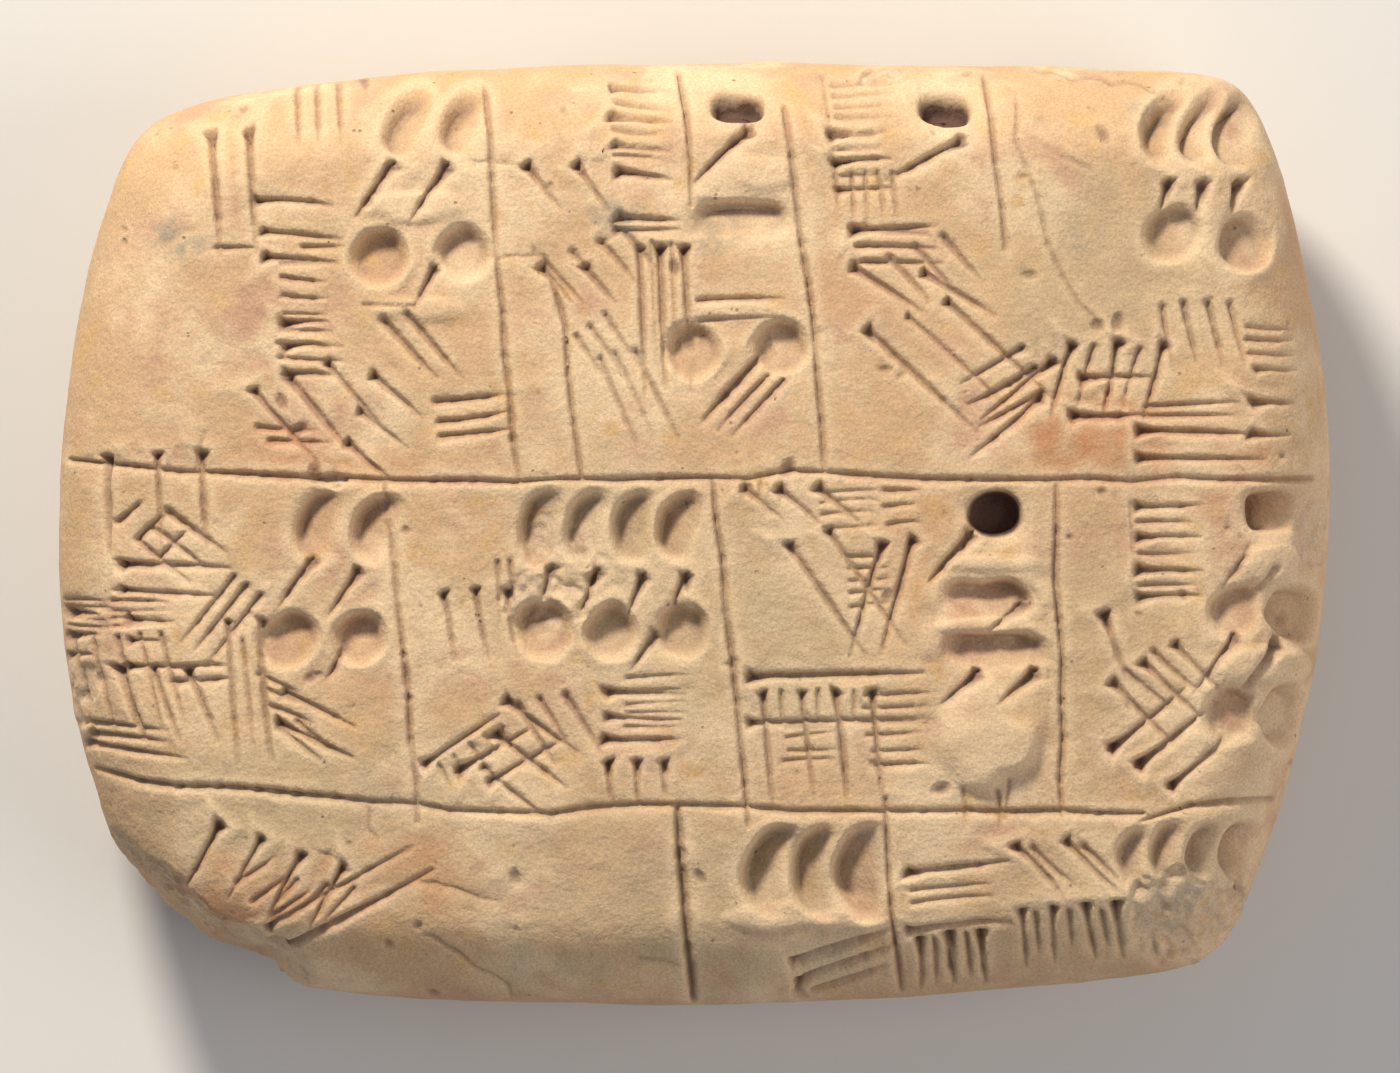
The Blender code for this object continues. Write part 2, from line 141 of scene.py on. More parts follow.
# Rows of bowls: place of the first, step to the next, how many, how far the stylus was turned
BOWL_ROWS = (
    ((-493, 586), (133, 4), 2, -0.2),
    ((-4, 387), (138, 4), 2, 0.0),
    ((743, 634), (116, -19), 2, 0.5),
    ((-636, -218), (113, 4), 2, 0.0),
    ((-236, -200), (108, 0), 3, 0.2),
    ((848, -158), (0, 0), 1, 0.2),
    ((938, -166), (0, 0), 1, 0.8),
    ((835, -380), (0, 0), 1, -0.1),
    ((918, -378), (0, 0), 1, 0.8),
)
RIM_HOLES = ((67, 903), (390, 898))
HOLES = ((468, 42),)
LEANING_HOLES = ((903, 51),)
SCOOPS = ((74, 660), (460, -137), (470, -246))

# Rows of wedges with a broad head: place of the first head, its tail from there, step, count
WEDGE_ROWS = (
    ((-473, 774), (-55, -105), (86, 0), 2),
    ((-401, 558), (-30, -80), (0, 0), 1),
    ((86, 852), (-86, -114), (0, 0), 1),
    ((115, 385), (-94, -138), (0, 0), 1),
    ((417, 831), (-118, -80), (0, 0), 1),
    ((738, 735), (-10, -60), (56, 4), 3),
    ((-595, -59), (-45, -95), (70, -17), 2),
    ((-545, -230), (-38, -74), (0, 0), 1),
    ((-222, -76), (-22, -80), (70, -4), 4),
    ((-64, -211), (-36, -74), (0, 0), 1),
    ((432, 2), (-63, -97), (0, 0), 1),
    ((440, -290), (-52, -62), (91, 0), 2),
    ((515, -145), (-57, -59), (0, 0), 1),
    ((845, -215), (-62, -115), (66, -15), 2),
)

# Rows of drawn strokes: first stroke's head, its run, step to the next, count
STROKE_ROWS = (
    ((-755, 845), (15, -260), (60, 0), 2),
    ((-680, 700), (120, -10), (5, -60), 3),
    ((-640, 440), (65, 0), (2, -50), 3),
    ((-690, 300), (95, -150), (60, 30), 3),
    ((-500, 330), (75, -80), (-20, -70), 3),
    ((-260, 770), (50, -95), (75, 0), 2),
    ((-240, 560), (45, -70), (75, 0), 2),
    ((-130, 940), (90, -12), (2, -60), 4),
    ((-120, 665), (100, 0), (0, -30), 2),
    ((-85, 600), (10, -300), (35, 0), 3),
    ((215, 840), (90, 10), (4, -60), 3),
    ((250, 640), (130, 5), (0, -60), 1),
    ((250, 560), (110, -90), (105, -10), 2),
    ((270, 430), (170, -215), (62, 30), 3),
    ((560, 360), (-110, -120), (-20, -75), 2),
    ((590, 400), (-30, -150), (70, 0), 3),
    ((590, 250), (110, 0), (10, 80), 2),
    ((690, 160), (190, -5), (0, 55), 2),
    ((875, 350), (60, 0), (-5, -70), 3),
    ((-915, 165), (5, -200), (75, 0), 3),
    ((-895, -65), (170, -10), (0, -52), 2),
    ((-980, -165), (50, 0), (0, -45), 3),
    ((-885, -175), (70, 0), (0, -50), 3),
    ((-900, -280), (45, -150), (55, 0), 3),
    ((-950, -440), (160, -30), (0, 0), 1),
    ((-730, -180), (15, -300), (55, 0), 2),
    ((-640, -330), (110, -70), (-10, -70), 2),
    ((-390, -120), (15, -140), (50, 0), 3),
    ((-420, -480), (120, 95), (50, -20), 3),
    ((-290, -350), (110, -110), (-20, -70), 3),
    ((-140, -330), (120, 0), (0, -50), 3),
    ((-130, -480), (5, -80), (40, 0), 3),
    ((80, 95), (60, -70), (55, 0), 3),
    ((150, -20), (120, -240), (60, 30), 2),
    ((345, -10), (-50, -240), (-55, -10), 2),
    ((85, -300), (270, 10), (0, -100), 2),
    ((110, -330), (15, -230), (55, 0), 4),
    ((690, 60), (100, 0), (0, -65), 4),
    ((640, -170), (25, -120), (0, 0), 1),
    ((650, -310), (100, -130), (50, 40), 3),
    ((650, -450), (120, 130), (45, -40), 3),
    ((-740, -610), (-50, -130), (65, -30), 4),
    ((-670, -830), (230, 170), (30, -40), 2),
    ((150, -900), (150, 75), (10, -50), 2),
    ((330, -710), (160, 20), (0, -120), 2),
    ((350, -850), (8, -100), (50, 5), 3),
    ((500, -650), (80, -110), (80, 10), 2),
    ((510, -790), (10, -110), (50, 5), 4),
)

# Rows of finer strokes between the others: as above, with the half width in millimetres
FINE_ROWS = (
    ((-619, 945), (6, -127), (31, 4), 3, 0.20),
    ((-644, 573), (69, -4), (2, -36), 5, 0.20),
    ((-647, 400), (100, -6), (3, -30), 3, 0.20),
    ((-399, 277), (107, 17), (3, -38), 3, 0.24),
    ((-484, 450), (85, -123), (35, 13), 2, 0.24),
    ((-678, 226), (94, -8), (16, -30), 2, 0.22),
    ((-741, 598), (63, 2), (132, 4), 2, 0.22),
    ((-125, 911), (78, -8), (2, -59), 3, 0.16),
    ((-230, 573), (53, -85), (41, 21), 4, 0.22),
    ((-187, 421), (53, -106), (25, 21), 3, 0.20),
    ((-68, 611), (8, -275), (35, 0), 2, 0.15),
    ((-148, 370), (63, -190), (28, 8), 3, 0.20),
    ((9, 493), (132, 8), (0, -47), 2, 0.20),
    ((90, 345), (-78, -118), (25, -13), 3, 0.22),
    ((216, 945), (94, 8), (2, -23), 4, 0.15),
    ((216, 810), (78, 6), (3, -59), 2, 0.16),
    ((222, 759), (6, -93), (22, 0), 5, 0.16),
    ((244, 641), (125, -8), (9, -34), 3, 0.26),
    ((385, 624), (63, -93), (-41, -21), 3, 0.24),
    ((511, 391), (-94, -72), (16, -47), 3, 0.26),
    ((730, 484), (19, -127), (35, 0), 4, 0.20),
    ((865, 438), (69, -4), (0, -27), 3, 0.18),
    ((624, 391), (-25, -127), (69, 0), 2, 0.20),
    ((699, 243), (141, 4), (6, 25), 2, 0.20),
    ((-983, -133), (72, -4), (0, -19), 4, 0.15),
    ((-907, -121), (88, 0), (0, -19), 5, 0.15),
    ((-970, -222), (38, -195), (35, 4), 5, 0.18),
    ((-898, 27), (41, 47), (35, -34), 3, 0.26),
    ((-823, 49), (88, -89), (-22, -30), 3, 0.24),
    ((-719, -95), (-78, -135), (22, -17), 3, 0.22),
    ((-813, -281), (94, 13), (3, -30), 2, 0.24),
    ((-945, -395), (125, -17), (6, -25), 2, 0.22),
    ((-704, -222), (13, -233), (28, 0), 2, 0.18),
    ((-678, -298), (63, -34), (9, -30), 3, 0.22),
    ((-619, -391), (63, -63), (-28, -13), 2, 0.20),
    ((-104, -304), (94, 4), (0, -25), 6, 0.16),
    ((-399, -480), (16, -47), (25, 19), 5, 0.15),
    ((-274, -349), (56, -127), (35, 8), 3, 0.22),
    ((-305, -53), (5, -123), (22, 0), 2, 0.18),
    ((75, 104), (3, -42), (14, 0), 6, 0.14),
    ((200, 87), (88, 6), (0, -23), 4, 0.15),
    ((297, 91), (53, 4), (0, -34), 3, 0.18),
    ((238, -44), (56, 4), (2, -27), 5, 0.17),
    ((137, -328), (3, -76), (55, 0), 3, 0.16),
    ((263, -336), (110, 8), (0, -30), 3, 0.17),
    ((144, -404), (78, 4), (0, -23), 4, 0.15),
    ((272, -425), (78, 8), (6, -30), 3, 0.18),
    ((693, 27), (88, 0), (0, -66), 3, 0.18),
    ((667, -281), (78, -93), (47, 34), 2, 0.20),
    ((856, -53), (-31, -59), (47, -21), 2, 0.20),
    ((-713, -729), (56, 55), (28, -38), 3, 0.20),
    ((-619, -729), (-47, -63), (44, -8), 3, 0.22),
    ((165, -903), (125, 63), (9, -30), 3, 0.20),
    ((376, -848), (6, -85), (50, 4), 2, 0.18),
    ((536, -797), (6, -76), (50, 4), 3, 0.20),
    ((416, -539), (6, -76), (56, 0), 2, 0.20),
    ((526, -658), (63, -85), (78, 8), 2, 0.20),
    ((341, -746), (125, 13), (0, -30), 2, 0.18),
)

# Smooth swellings where the clay was pushed up: place, half sizes and height in millimetres
SWELLINGS = (
    ((462, -415), (4.7, 4.8), 0.92),
    ((470, -60), (4.2, 1.0), 0.30),
    ((452, -190), (4.0, 0.8), 0.28),
    ((75, 470), (3.6, 1.0), 0.30),
    ((-426, 470), (4.0, 1.2), 0.25),
    ((150, -800), (5.0, 1.2), 0.25),
    ((880, -275), (4.4, 1.6), 0.45),
    ((900, -55), (2.6, 1.8), 0.35),
    ((-430, 690), (4.2, 1.4), 0.30),
    ((100, 760), (2.8, 1.8), 0.30),
)

# Broken corners and the scar at the lower right: the break's two ends seen from above, the
# height they lie at as a share of the thickness, how many degrees the break leans in from
# upright, and its roughness
BREAKS = (
    ((-935, -632), (-760, -845), 0.42, 10, 0.50),
    ((-790, -822), (-655, -890), 0.42, 9, 0.50),
    ((-680, -872), (-595, -989), 0.42, 11, 0.45),
    ((680, -860), (810, -680), 0.93, 78, 0.45),
)

# Fine lines drawn or torn in the clay: half width, depth and places
FINE_LINES = (
    (0.16, 0.24, ((504, 924), (500, 880), (501, 827), (518, 774), (533, 706),
                  (551, 609), (573, 545), (598, 486), (624, 448))),
    (0.18, 0.26, ((200, 966), (213, 846), (228, 715))),
    (0.18, 0.26, ((678, 70), (685, -36))),
    (0.16, 0.16, ((528, 831), (624, 759))),
    (0.24, 0.40, ((864, -21), (846, -70), (817, -112))),
    (0.24, 0.40, ((-517, 482), (-434, 478))),
    (0.26, 0.45, ((489, -514), (489, -598))),
)

# Deep little pits: place and size in millimetres
DEEP_PITS = (
    ((384, -533), 0.60), ((-162, -93), 0.60),
    ((-592, 130), 0.60), ((145, 140), 0.60),
    ((-598, -300), 0.45), ((300, -130), 0.45), ((-30, 560), 0.50),
    ((628, 440), 0.55),
)

# Flakes lost from the face, and places worn rough: place, half sizes in millimetres, depth
FLAKES = (
    ((-570, 115), (1.3, 0.6), 0.35),
    ((-226, -137), (3.4, 2.2), 0.16),
    ((-215, -20), (3.2, 2.2), 0.10),
    ((775, -805), (4.6, 3.6), 0.45),
    ((965, 0), (1.6, 2.8), 0.20),
    ((-960, -330), (1.5, 2.5), 0.20),
    ((300, 965), (2.4, 0.7), 0.18),
)

# Hairline cracks in the clay
CRACKS = (
    ((526, 981), (594, 966), (696, 953), (713, 937), (752, 920)),
    ((-435, -727), (-404, -734), (-374, -742), (-307, -772)),
    ((-424, -839), (-368, -884), (-327, -918), (-288, -953), (-286, -970)),
    ((-360, 784), (-263, 776)),
    ((-343, 583), (-241, 583)),
    ((-598, -655), (-543, -693)),
    ((-515, -562), (-498, -636)),
    ((-90, -888), (-21, -903)),
    ((-782, 137), (-760, 222)),
    ((834, -721), (867, -761)),
)

DRAW_SEED = 41
LATTICE_SEED = 7
LATTICE = 32

rng = np.random.default_rng(DRAW_SEED)
lattice = np.random.default_rng(LATTICE_SEED).random((LATTICE, LATTICE, LATTICE)) * 2 - 1


def noise(x, y, z, size, shift):
    """Smooth noise from -1 to 1 with bumps of about the given size."""
    cells = []
    shares = []
    for values in (x, y, z):
        place = np.asarray(values, float) / size + shift
        low = np.floor(place).astype(int)
        share = place - low
        cells.append(low)
        shares.append(share * share * (3 - 2 * share))
    total = 0.0
    for corner in range(8):
        weight = 1.0
        index = []
        for axis in range(3):
            far = corner >> axis & 1
            weight = weight * (shares[axis] if far else 1 - shares[axis])
            index.append((cells[axis] + far) % LATTICE)
        total = total + weight * lattice[index[0], index[1], index[2]]
    return total


def layered(x, y, z, layers):
    """The sum of several noises, each given by its height, the size of its bumps and its shift."""
    total = 0.0
    for height, size, shift in layers:
        total = total + height * noise(x, y, z, size, shift)
    return total


def over_face(x, y, *layers):
    """The same over the face, for a row of x and a column of y or for points."""
    return layered(x + 0 * y, y + 0 * x, 0 * (x + y), layers)


def smooth(values):
    """0 to 1, level at both ends."""
    values = np.clip(values, 0.0, 1.0)
    return values * values * (3 - 2 * values)


def to_mm(place):
    """A place on the face, a step or a run in millimetres."""
    return np.array(place) * THOUSANDTHS


# The body's form, for arrays of points

def bow(share, bulge, bows):
    return np.where(share > bulge, bows[0], bows[1]) * (share - bulge) ** 2


def outline_gauge(x, y):
    """Less than 1 inside the outline, 1 on it and more outside."""
    along = x / (LENGTH / 2)
    across = y / (WIDTH / 2)
    side = np.where(x > 0, bow(across, RIGHT_BULGE, RIGHT_BOWS), bow(across, LEFT_BULGE, LEFT_BOWS))
    end = np.where(y > 0, bow(along, TOP_BULGE, TOP_BOWS), bow(along, BOTTOM_BULGE, BOTTOM_BOWS))
    power = np.where(
        y > 0,
        np.where(x > 0, CORNER_TOP_RIGHT, CORNER_TOP_LEFT),
        np.where(x > 0, CORNER_BOTTOM_RIGHT, CORNER_BOTTOM_LEFT),
    )
    return (np.abs(x) / (LENGTH / 2 - side)) ** power + (np.abs(y) / (WIDTH / 2 - end)) ** power


def outline_table():
    """Bearings all round and the outline's distance from the middle along each."""
    bearings = np.linspace(-math.pi, math.pi, BEARINGS)
    near = np.zeros(BEARINGS)
    far = np.full(BEARINGS, (LENGTH + WIDTH) / 2)
    for _ in range(HALVINGS):
        middle = (near + far) / 2
        inside = outline_gauge(middle * np.cos(bearings), middle * np.sin(bearings)) < 1
        near = np.where(inside, middle, near)
        far = np.where(inside, far, middle)
    return bearings, near


def cushion(cube):
    """Points of a cube from -1 to 1, drawn out to the tablet's cushion form."""
    along, across, up = cube.T
    reach = np.maximum(np.abs(along), np.abs(across))
    turn = up * math.pi / 2
    bearing = np.arctan2(across * WIDTH, along * LENGTH)
    radius = np.interp(bearing, *outline_table())
    inset = EDGE_ROUNDING * (1 - np.cos(turn))
    x = reach * radius * np.cos(bearing) * (1 - 2 * inset / LENGTH)
    y = reach * radius * np.sin(bearing) * (1 - 2 * inset / WIDTH)
    pillow = (1 - (2 * x / LENGTH) ** 2) * (1 - (2 * y / WIDTH) ** 2)
    edge_rise = THICKNESS - GIRDLE_HEIGHT - FACE_CROWN
    front = GIRDLE_HEIGHT + np.sin(turn) * (edge_rise + FACE_CROWN * pillow)
    back_drop = GIRDLE_HEIGHT + REST_FLAT_DEPTH - BACK_CROWN
    back = np.maximum(0.0, GIRDLE_HEIGHT + np.sin(turn) * (back_drop + BACK_CROWN * pillow))
    return np.stack((x, y, np.where(up >= 0, front, back)), axis=1), turn


# The relief on the face

class Relief:
    """Grids over the face, seen from above: what is done to the clay at each place."""

    def __init__(self):
        self.x = np.arange(-GRID_REACH_X, GRID_REACH_X, GRID_STEP)
        self.y = np.arange(-GRID_REACH_Y, GRID_REACH_Y, GRID_STEP)
        size = (len(self.y), len(self.x))
        self.pressed = np.zeros(size)
        self.raised = np.zeros(size)
        self.swell = np.zeros(size)
        # How much each place is darkened, partly by dirt and partly as painted shade
        self.dirt_and_shade = np.zeros(size)
        self.rough = np.zeros(size)

    def window(self, low, high):
        """The cells between two corners, with their x in a row and their y in a column."""
        columns, rows = [
            slice(max(0, int((low[axis] + reach) / GRID_STEP)),
                  max(0, int((high[axis] + reach) / GRID_STEP) + 2))
            for axis, reach in enumerate((GRID_REACH_X, GRID_REACH_Y))
        ]
        return (rows, columns), self.x[columns][None, :], self.y[rows][:, None]

    def press(self, spot, depth, lip, dirt_and_shade):
        for grid, values in ((self.pressed, depth), (self.raised, lip), (self.dirt_and_shade, dirt_and_shade)):
            grid[spot] = np.maximum(grid[spot], values)

    def sample(self, grid, x, y):
        """Values of a grid at points, between its cells."""
        column = np.clip((x + GRID_REACH_X) / GRID_STEP, 0, len(self.x) - LAST_CELL)
        row = np.clip((y + GRID_REACH_Y) / GRID_STEP, 0, len(self.y) - LAST_CELL)
        left = column.astype(int)
        low = row.astype(int)
        across = column - left
        up = row - low
        return ((grid[low, left] * (1 - across) + grid[low, left + 1] * across) * (1 - up)
                + (grid[low + 1, left] * (1 - across) + grid[low + 1, left + 1] * across) * up)


relief = Relief()

# Clay pushed out of a mark stands beside it: how far off it is highest, how far it is
# reckoned, and its height as a share of the mark's depth
WELT_OFF = 0.28
WELT_REACH = 1.6
WELT_SHARE = 0.38
# The point was held so that the upper left wall of a stroke is steep and the other one gentle
SKEW_X = -0.42
SKEW_Y = 0.42


def welt(off):
    """The pushed-up clay's height at a distance from the mark's edge, at most 1."""
    share = np.maximum(off, 0) / WELT_OFF
    return share * np.exp(1 - share)


def groove(points, half_widths, depths, welt_share=WELT_SHARE, dirt_and_shade=0.55):
    """A V along a line, of a given half width and depth at each point."""
    stations = list(zip(points, half_widths, depths))
    for (start, width, depth), (end, end_width, end_depth) in zip(stations, stations[1:]):
        run = np.asarray(end) - start
        length = max(float(np.hypot(*run)), TINY)
        margin = max(width, end_width) + WELT_REACH
        spot, x, y = relief.window(np.minimum(start, end) - margin, np.maximum(start, end) + margin)
        share = np.clip(((x - start[0]) * run[0] + (y - start[1]) * run[1]) / length ** 2, 0, 1)
        off_x = x - start[0] - share * run[0]
        off_y = y - start[1] - share * run[1]
        away = np.hypot(off_x, off_y)
        side = np.sign(run[0] * off_y - run[1] * off_x)
        here = width + (end_width - width) * share
        lean = (-run[1] * SKEW_X + run[0] * SKEW_Y) / length
        place = side * away / here
        wall = np.where(place < lean, (place + 1) / (1 + lean), (1 - place) / (1 - lean))
        wall = np.clip(wall, 0, 1)
        deep = depth + (end_depth - depth) * share
        # Darkening towards the groove's floor: partly dirt, partly painted shade
        relief.press(spot, deep * wall, welt_share * deep * welt(away - here), dirt_and_shade * wall ** 2)


# How unevenly lines are drawn, and how much they thin out at both ends
WIDTH_JITTER = 0.10
DEPTH_JITTER = 0.11
END_FADE = 0.3


def wandering(line, half_width, depth, wobble=0.08, spacing=3.2):
    """A hand-drawn line: its points, half widths and depths, a little uneven."""
    points = [to_mm(place) for place in line]
    places = []
    for start, end in zip(points, points[1:]):
        count = max(1, round(float(np.hypot(*(end - start))) / spacing))
        places += [start + (end - start) * index / count for index in range(count)]
    places.append(points[-1])
    places = [place + rng.normal(0, wobble, 2) for place in places]
    widths = [half_width * (1 + rng.normal(0, WIDTH_JITTER)) for _ in places]
    depths = [depth * (1 + rng.normal(0, DEPTH_JITTER)) for _ in places]
    for index in (0, -1):
        widths[index] *= 1 - END_FADE
        depths[index] *= 1 - END_FADE
    return places, widths, depths


def rule(line, half_width, depth):
    groove(*wandering(line, half_width, depth))


# A stroke's tail: shares along it, and half widths and depths as shares of the press
TAIL_STATIONS = (0.0, 0.25, 0.7, 1.0)
TAIL_WIDTHS = (0.80, 0.70, 0.60, 0.34)
TAIL_DEPTHS = (1.25, 1.10, 0.92, 0.35)
PLAIN_WIDTH = 1.10
# Its head: its half width as a share of the press, its length and how far it lies back as shares
# of that, where along it the deepest place is and how far that is skewed, how the broad end
# slants, how unevenly it is turned in radians, how soon it is fully deep, and its darkening,
# partly dirt and partly painted shade
HEAD_WIDTH = 1.25
HEAD_LENGTH = 2.5
HEAD_BACK = 0.45
HEAD_FLOOR = 0.34
HEAD_SKEW = 0.5
HEAD_SLANT = 0.25
HEAD_TURN = 0.14
HEAD_FULL = 1.15
HEAD_DIRT_AND_SHADE = 0.85
HEAD_DIRT_AND_SHADE_FULL = 1.6
# Further than any place in a head is from its sides
FAR_AWAY = 9.0
# How unevenly strokes are drawn: where they begin, their run, bend and press
START_JITTER = 0.08
RUN_JITTER = 0.12
BEND_JITTER = 0.07
PRESS_JITTER = 0.10


def wedge_head(tip_side, direction, half_width, depth):
    """A three-sided pit where the point first went in, with its broad end away from the tail."""
    turn = rng.normal(0, HEAD_TURN)
    along = np.array((direction[0] * math.cos(turn) - direction[1] * math.sin(turn),
                      direction[0] * math.sin(turn) + direction[1] * math.cos(turn)))
    side = np.array((-along[1], along[0]))
    length = HEAD_LENGTH * half_width
    back = tip_side - along * HEAD_BACK * half_width
    slant = rng.normal(0, HEAD_SLANT) * half_width
    corners = (back + side * half_width + along * slant, back - side * half_width - along * slant,
               back + along * length)
    floor = back + along * length * HEAD_FLOOR + np.array((SKEW_X, SKEW_Y)) * half_width * HEAD_SKEW
    reach = length + WELT_REACH
    spot, x, y = relief.window(tip_side - reach, tip_side + reach)
    share = np.full((y.shape[0], x.shape[1]), FAR_AWAY)
    inside = share.copy()
    for start, end in zip(corners, corners[1:] + corners[:1]):
        run = (end - start) / np.hypot(*(end - start))
        off = (x - start[0]) * run[1] - (y - start[1]) * run[0]
        floor_off = (floor[0] - start[0]) * run[1] - (floor[1] - start[1]) * run[0]
        share = np.minimum(share, off / floor_off)
        inside = np.minimum(inside, off * np.sign(floor_off))
    hollow = np.clip(share * HEAD_FULL, 0, 1)
    # Darkening in the head: partly dirt, partly painted shade
    relief.press(spot, depth * hollow, WELT_SHARE * depth * welt(-inside),
                 HEAD_DIRT_AND_SHADE * smooth(hollow * HEAD_DIRT_AND_SHADE_FULL))


def stroke(head, run, half_width, headed=True, head_depth=1.75):
    """A short stroke, from a broad three-sided head to a fine tail, or plain."""
    start = to_mm(head) + rng.normal(0, START_JITTER, 2)
    reach = to_mm(run) + rng.normal(0, RUN_JITTER, 2)
    bend = rng.normal(0, BEND_JITTER, 2)
    points = [start + reach * share + bend * math.sin(math.pi * share) for share in TAIL_STATIONS]
    press = half_width * (1 + rng.normal(0, PRESS_JITTER))
    broad = 1.0 if headed else PLAIN_WIDTH
    groove(points, [press * broad * width for width in TAIL_WIDTHS],
           [press * depth for depth in TAIL_DEPTHS])
    if headed:
        wedge_head(start, reach / np.hypot(*reach), press * HEAD_WIDTH, press * head_depth)


def row_places(first, step, count):
    return [(first[0] + step[0] * index, first[1] + step[1] * index) for index in range(count)]


# How unevenly round ends are pressed, the bumps of their rims, and how their floors bend
DINT_DEPTH_JITTER = 0.09
DINT_SIZE_JITTER = 0.05
RIM_BUMPS = 1.9
RIM_SHIFTS = (21.0, 27.0)
FLOOR_BEND = 1.25


def dint(centre, form, size=1.0, turned=0.0, *, dirt_and_shade, corners=2.0, turn=0.12, lip=0.24,
         lip_reach=0.9, ragged=0.16):
    """A round end pressed in leaning: a curved wall on one side and a floor that rises from it."""
    facing, half_run, half_span, depth, floor_run, wall = form
    facing += turned + rng.normal(0, turn)
    depth *= size * (1 + rng.normal(0, DINT_DEPTH_JITTER))
    half_run *= size * (1 + rng.normal(0, DINT_SIZE_JITTER))
    half_span *= size * (1 + rng.normal(0, DINT_SIZE_JITTER))
    reach = max(half_run, half_span) + WELT_REACH
    spot, x, y = relief.window(centre - reach, centre + reach)
    off_x, off_y = [
        values - middle + over_face(x, y, (ragged, RIM_BUMPS, shift))
        for values, middle, shift in zip((x, y), centre, RIM_SHIFTS)
    ]
    along = -(off_x * math.cos(facing) + off_y * math.sin(facing))
    across = off_y * math.cos(facing) - off_x * math.sin(facing)
    away = np.abs(along / half_run) ** corners + np.abs(across / half_span) ** corners
    away = away ** (1 / corners)
    rim = (1 - away) * min(half_run, half_span)
    floor = np.clip(1 - (along + half_run) / (floor_run * size), 0, 1) ** FLOOR_BEND
    edge = lip * depth * welt(-rim) * smooth(lip_reach - along / half_run)
    inside = floor * smooth(rim / wall)
    # Darkening inside, strongest at the foot of the wall: painted shade, with some dirt
    relief.press(spot, depth * inside, edge, dirt_and_shade * inside)


def press_marks():
    for place in SCOOPS:
        dint(to_mm(place), SCOOP, corners=3.0, turn=0.06, dirt_and_shade=0.6, ragged=0.20)
    for first, step, count, size, turned in CRESCENT_ROWS:
        shift = np.array((CRESCENT_SHIFT[0] * size + CRESCENT_SHIFT[1], CRESCENT_DROP))
        for place in row_places(first, step, count):
            dint(to_mm(place) + shift, CRESCENT, size, turned, dirt_and_shade=0.68)
    for first, step, count, turned in BOWL_ROWS:
        for place in row_places(first, step, count):
            dint(to_mm(place), BOWL, turned=turned, turn=0.25, lip=0.28, lip_reach=1.7,
                 dirt_and_shade=0.42, ragged=0.26)
    # The holes are darkened strongly as painted shade, since the lamps reach their floors
    for place in RIM_HOLES:
        dint(to_mm(place), RIM_HOLE, corners=2.6, turn=0.05, lip=0.05, dirt_and_shade=3.0)
    for place in HOLES:
        dint(to_mm(place), HOLE, corners=2.2, lip=0.06, dirt_and_shade=3.0)
    for place in LEANING_HOLES:
        dint(to_mm(place), LEANING_HOLE, corners=3.0, lip=0.10, dirt_and_shade=0.9)


# How much broader fine strokes come out, the depth of a wedge's head, and a crack's sizes
FINE_BROADER = 1.7
WEDGE_HEAD_DEPTH = 1.3
CRACK_HALF_WIDTH = 0.13
CRACK_DEPTH = 0.20


def draw_marks():
    for line in ROW_LINES + COLUMN_LINES:
        rule(line, LINE_HALF_WIDTH, LINE_DEPTH)
    for line in DEEP_LINES:
        rule(line, DEEP_LINE_HALF_WIDTH, DEEP_LINE_DEPTH)
    for first, run, step, count in STROKE_ROWS:
        for head in row_places(first, step, count):
            stroke(head, run, STROKE_HALF_WIDTH)
    for first, run, step, count, half_width in FINE_ROWS:
        for head in row_places(first, step, count):
            stroke(head, run, half_width * FINE_BROADER, headed=False)
    for first, run, step, count in WEDGE_ROWS:
        for head in row_places(first, step, count):
            stroke(head, run, WEDGE_HALF_WIDTH, head_depth=WEDGE_HEAD_DEPTH)
    for half_width, depth, line in FINE_LINES:
        rule(line, half_width, depth)
    for line in CRACKS:
        groove(*wandering(line, CRACK_HALF_WIDTH, CRACK_DEPTH, wobble=0.16, spacing=0.9),
               welt_share=0.0, dirt_and_shade=0.9)


# Scattered pits: how many, the part of the face they fall in, and their smallest size and range
PITS = 150
PIT_AREA = np.array((46.0, 34.0))
PIT_SIZES = (0.14, 0.40)
# Their depth as a share of their size, and how much dirt and painted shade darken them, by a
# fixed part and their size
PIT_DEPTH = 0.55
PIT_DIRT_AND_SHADE = (0.4, 0.5)
PIT_REACH = 1.5


def scatter_pits():
    """Presses small pits at random places and the deep ones at theirs."""
    scattered = [(rng.uniform(-PIT_AREA, PIT_AREA), PIT_SIZES[0] + PIT_SIZES[1] * rng.random() ** 3)
                 for _ in range(PITS)]
    chosen = [(to_mm(place), size) for place, size in DEEP_PITS]
    for centre, size in scattered + chosen:
        stretch = 1 + rng.random()
        angle = rng.uniform(0, math.pi)
        reach = size * stretch * PIT_REACH
        spot, x, y = relief.window(centre - reach, centre + reach)
        along = ((x - centre[0]) * math.cos(angle) + (y - centre[1]) * math.sin(angle)) / stretch
        across = (y - centre[1]) * math.cos(angle) - (x - centre[0]) * math.sin(angle)
        away = np.hypot(along, across) / size
        hollow = np.clip(1 - away ** 2, 0, 1)
        relief.swell[spot] -= size * PIT_DEPTH * hollow
        # Darkening in the pit: partly dirt, partly painted shade
        relief.dirt_and_shade[spot] = np.maximum(relief.dirt_and_shade[spot], (PIT_DIRT_AND_SHADE[0] + PIT_DIRT_AND_SHADE[1] * size) * hollow)


# A flake's ragged outline and rough floor, as layers of noise
FLAKE_OUTLINE = ((0.34, 1.5, 6.2), (0.16, 0.6, 2.8))
FLAKE_FLOOR = ((0.30, 1.2, 19.5), (0.20, 0.5, 4.1))
FLAKE_FLOOR_SHARES = (0.15, 0.5)
FLAKE_REACH = 1.8
FLAKE_SIZE = 1.05
FLAKE_STEEPNESS = 4.0


